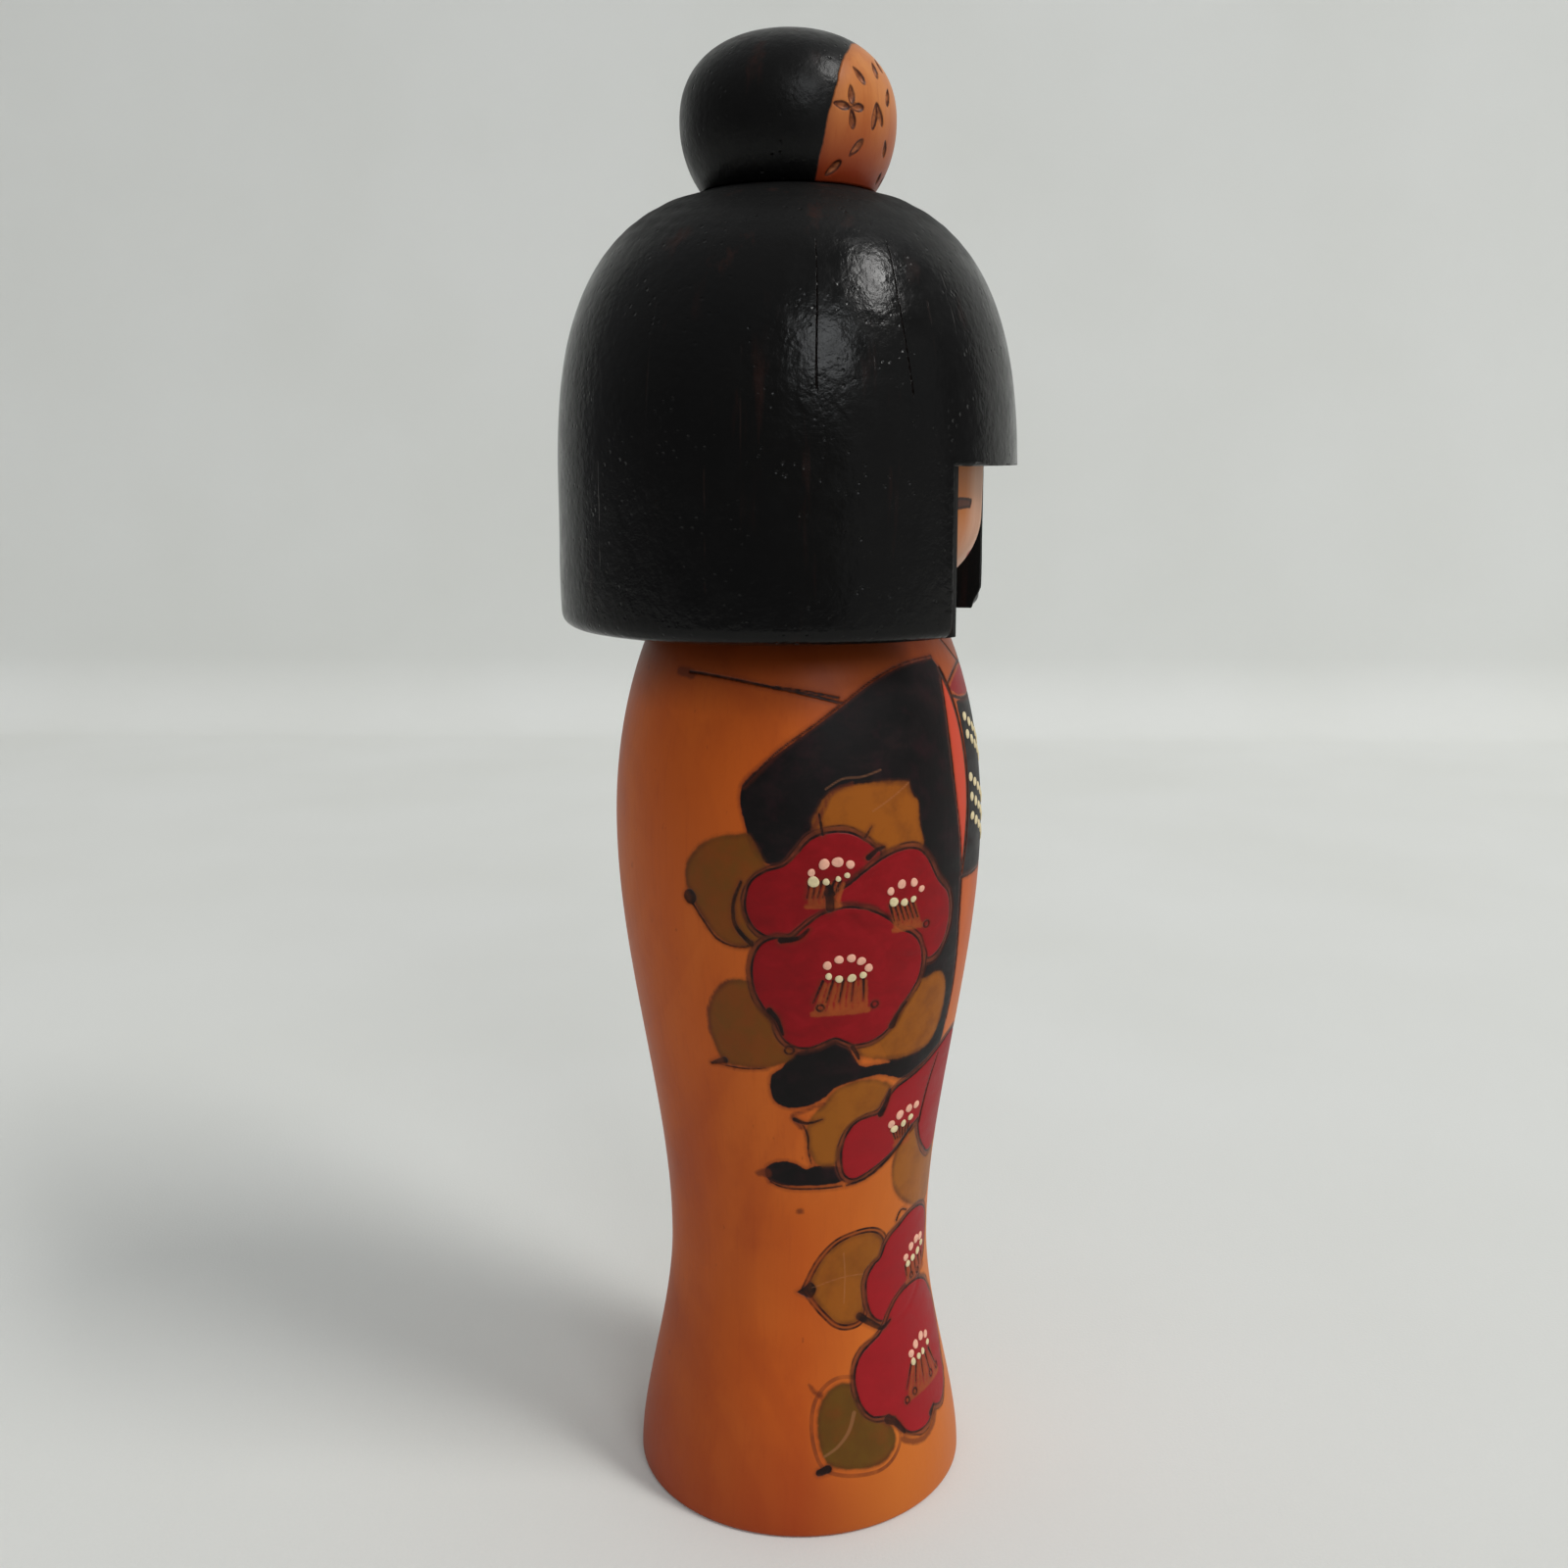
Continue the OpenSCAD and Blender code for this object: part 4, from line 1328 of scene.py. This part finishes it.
def make_face():
    """The ball inside the hair, with two narrow eyes and a small mouth."""
    heights, radii = smooth_outline("face_ball", HEAD_Y, 0.5)
    heights = np.maximum.accumulate(heights + np.arange(len(heights)) * 1e-5)
    turns = ring_angles(-42, 42, 0.75, 3.0)
    canvas = grid_canvas(turns, heights, radii, ("eye", "mouth"))
    for mirror in (1, -1):
        eye = [
            (14.4, 212.7), (14.4, 212.7), (13, 214.4), (13, 214.4), (18, 214.8), (23, 214.9),
            (28.5, 214.5), (28.5, 214.5), (28.3, 213), (28.3, 213), (23, 212.6), (18, 212.7)]
        canvas.draw_at(mirror)
        canvas.area("eye", eye)
    canvas.draw_at()
    canvas.area("mouth", [(-4, 203.4), (-1.6, 204.1), (0, 203.8), (1.6, 204.1), (4, 203.4), (0, 202.5)])
    depth = 0.12 * groove(canvas.layers["eye"], 0.3).reshape(len(heights), -1)
    outside = turned_points(turns, heights, radii[:, None] - depth, HEAD_Y)
    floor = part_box("face_ball")[0].z / MM
    bore = turned_points(turns, [floor + 20, floor + 20, floor], np.array([0.05, 8.05, 8.05]), 0.0)
    chin = turned_points(turns, [floor], np.array([radii[0] - 1.1]), HEAD_Y)
    top = turned_points(turns, [heights[-1]] * 2, np.array([radii[-1] - 0.5, 0.05]), HEAD_Y)
    points = np.concatenate([bore, chin, outside, top])
    faces = capped_faces(*points.shape[:2])
    piece = add_piece("face_turned", points, faces, face_material(), "head", ["face_ball"])
    for name, values in canvas.layers.items():
        set_rows(piece, name, points.shape[:2], len(bore) + len(chin), values.reshape(len(heights), -1))
    return piece


def face_material():
    s = Shader("face_wood")
    rings, fibres, clouds = wood_tone(s, 20, 5, 300.0)
    # painted highlight: the face is paler towards the chin, with the upper face left in painted shade under
    # the fringe
    low = s.remap(s.z, 0.198, 0.212, 1.0, 0.0)
    skin = s.ramp(clouds, (0.3, (161, 93, 42)), (0.7, (177, 108, 56)))
    # paler towards the middle of the face: partly paler wood, partly painted light, with the sides left in
    # painted shade from the hair
    front = s.remap(s.math("ABSOLUTE", s.x), 0.0125, 0.0075)
    skin = s.mix(s.times(front, 0.7), skin, (196, 156, 132))
    skin = s.mix(s.times(low, 0.6), skin, (198, 158, 136))
    skin = s.mix(s.remap(rings, 0.45, 0.7, 0.0, 0.3), skin, (158, 96, 54))
    skin = s.mix(s.remap(fibres, 0.5, 0.75, 0.0, 0.25), skin, (150, 88, 48))
    wobble = s.times(s.math("SUBTRACT", s.noise(s.place, 900, 2.0), 0.5), 0.35)
    skin = s.mix(s.mask("mouth", 0.0, 0.25, wobble), skin, (150, 36, 30))
    eye = s.layer("eye")
    skin = s.mix(s.mask(eye, 0.0, 0.25, wobble), skin, (78, 40, 24))
    skin = s.mix(s.times(s.line(eye, -0.3, 0.5), 0.85), skin, (40, 20, 13))
    height = s.times(fibres, 0.05)
    return s.finish(skin, s.remap(clouds, 0.3, 0.7, 0.42, 0.55), s.bump(height, 0.6), 0.2)


def peg_material():
    s = Shader("bare_peg_wood")
    rings, fibres, clouds = wood_tone(s, 2, -3, 600.0)
    wood = s.ramp(clouds, (0.3, (206, 166, 116)), (0.7, (222, 184, 134)))
    wood = s.mix(s.remap(rings, 0.45, 0.7, 0.0, 0.5), wood, (182, 134, 84))
    wood = s.mix(s.remap(fibres, 0.5, 0.75, 0.0, 0.3), wood, (168, 120, 74))
    return s.finish(wood, s.remap(fibres, 0.3, 0.7, 0.55, 0.7), s.bump(s.times(fibres, 0.06), 0.6))


# ---------------------------------------------------------------- stage, light and camera

VIEW_TURN = math.radians(11.7)  # the camera looks along +X, turned this much towards +Y
VIEW = Vector((math.cos(VIEW_TURN), math.sin(VIEW_TURN), 0))
RIGHT = Vector((math.sin(VIEW_TURN), -math.cos(VIEW_TURN), 0))
UP = Vector((0, 0, 1))
CAMERA_DISTANCE, CAMERA_SIDE, CAMERA_HEIGHT = 331.58, 3.05, 223.47
WALL_DISTANCE = 973.0  # mm, from the doll to the foot of the wall
LIGHT_DISTANCE = 6000.0  # mm, far enough for an even floor


def cloth_material():
    s = Shader("pale_cloth")
    weave = s.noise(s.place, 1400, 2.0)
    clouds = s.noise(s.place, 6, 2.0)
    colour = s.ramp(clouds, (0.3, (225, 226, 222)), (0.7, (229, 230, 227)))
    colour = s.mix(s.times(weave, 0.12), colour, (200, 200, 196))
    return s.finish(colour, 0.9, s.bump(s.times(weave, 0.08), 0.5), specular=0.2)


def make_stage():
    """A pale floor that turns up into a wall behind the doll."""
    fillet, tall, near, half = 60.0, 2200.0, 700.0, 2200.0
    section = [(-near, 0.0)]
    for step in range(13):
        a = math.radians(90 * step / 12)
        section.append((WALL_DISTANCE - fillet + fillet * math.sin(a), fillet - fillet * math.cos(a)))
    section.append((WALL_DISTANCE, tall))
    yaw = math.radians(3)
    points, faces = [], []
    for along in (-half, half):
        for depth, height in section:
            place = VIEW * (depth - along * math.tan(yaw) * (depth > 0)) + RIGHT * along + UP * height
            points.append(tuple(place * MM))
    n = len(section)
    for i in range(n - 1):
        faces.append((i, n + i, n + i + 1, i + 1))
    mesh = bpy.data.meshes.new("stage_cloth")
    mesh.from_pydata(points, [], faces)
    mesh.polygons.foreach_set("use_smooth", [True] * len(mesh.polygons))
    mesh.materials.append(cloth_material())
    stage = bpy.data.objects.new("stage_cloth", mesh)
    bpy.context.scene.collection.objects.link(stage)
    return stage


def add_light(name, direction, size_mm, power, colour, spin=0.0):
    """A rectangular light aimed at the doll; spin turns it about its own beam, in degrees."""
    light = bpy.data.lights.new(name, "AREA")
    light.shape = "RECTANGLE"
    light.size, light.size_y = size_mm[0] * MM, size_mm[1] * MM
    light.energy = power
    light.color = colour
    lamp = bpy.data.objects.new(name, light)
    bpy.context.scene.collection.objects.link(lamp)
    way = Vector(direction).normalized()
    lamp.location = (UP * 150 + way * LIGHT_DISTANCE) * MM
    turned = Quaternion((0, 0, 1), math.radians(spin))
    lamp.rotation_euler = (way.to_track_quat("Z", "Y") @ turned).to_euler()
    return lamp


def make_lights():
    """A window high on the right, a weaker one behind the camera, and a dim broad glow low on the right."""
    key = RIGHT * 0.58 + UP * 0.74 - VIEW * 0.32
    room = RIGHT * 0.3 + UP * 0.46 - VIEW * 0.83
    glow = RIGHT * 0.8 + UP * 0.12 - VIEW * 0.6
    add_light("key_window", key, (2500, 900), 170.0, (1.0, 0.99, 0.97), 52)
    add_light("room_window", room, (2150, 1700), 64.0, (0.95, 0.98, 1.0))
    add_light("low_glow", glow, (6200, 4100), 19.0, (0.97, 0.99, 1.0))
    world = bpy.context.scene.world or bpy.data.worlds.new("room")
    bpy.context.scene.world = world
    world.use_nodes = True
    nodes, links = world.node_tree.nodes, world.node_tree.links
    way = nodes.new("ShaderNodeTexCoord")
    apart = nodes.new("ShaderNodeSeparateXYZ")
    ceiling = nodes.new("ShaderNodeValToRGB")
    ceiling.color_ramp.elements[0].position = 0.15
    ceiling.color_ramp.elements[0].color = (0.22, 0.225, 0.23, 1)
    ceiling.color_ramp.elements[1].position = 0.85
    ceiling.color_ramp.elements[1].color = (0.42, 0.43, 0.44, 1)
    links.new(way.outputs["Generated"], apart.inputs[0])
    links.new(apart.outputs["Z"], ceiling.inputs[0])
    links.new(ceiling.outputs[0], nodes["Background"].inputs["Color"])


def make_camera():
    pitch, roll = math.radians(11.76), math.radians(0.22)
    forward = VIEW * math.cos(pitch) - UP * math.sin(pitch)
    above = UP * math.cos(pitch) + VIEW * math.sin(pitch)
    right = RIGHT * math.cos(roll) - above * math.sin(roll)
    above = above * math.cos(roll) + RIGHT * math.sin(roll)
    place = (UP * CAMERA_HEIGHT - RIGHT * CAMERA_SIDE - VIEW * CAMERA_DISTANCE) * MM
    lens = bpy.data.cameras.new("photo_camera")
    lens.lens = 36.585
    lens.sensor_width = 36.0
    lens.clip_start = 0.01
    camera = bpy.data.objects.new("photo_camera", lens)
    bpy.context.scene.collection.objects.link(camera)
    axes = Matrix((right, above, -forward)).transposed().to_4x4()
    camera.matrix_world = Matrix.Translation(place) @ axes
    bpy.context.scene.camera = camera


make_body()
make_hair()
make_bun()
make_face()
peg_wood = peg_material()
for peg in ("neck_peg", "bun_peg"):
    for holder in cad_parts[peg].material_slots:
        holder.material = peg_wood
make_stage()
make_lights()
make_camera()
bpy.context.scene.view_settings.view_transform = "Standard"
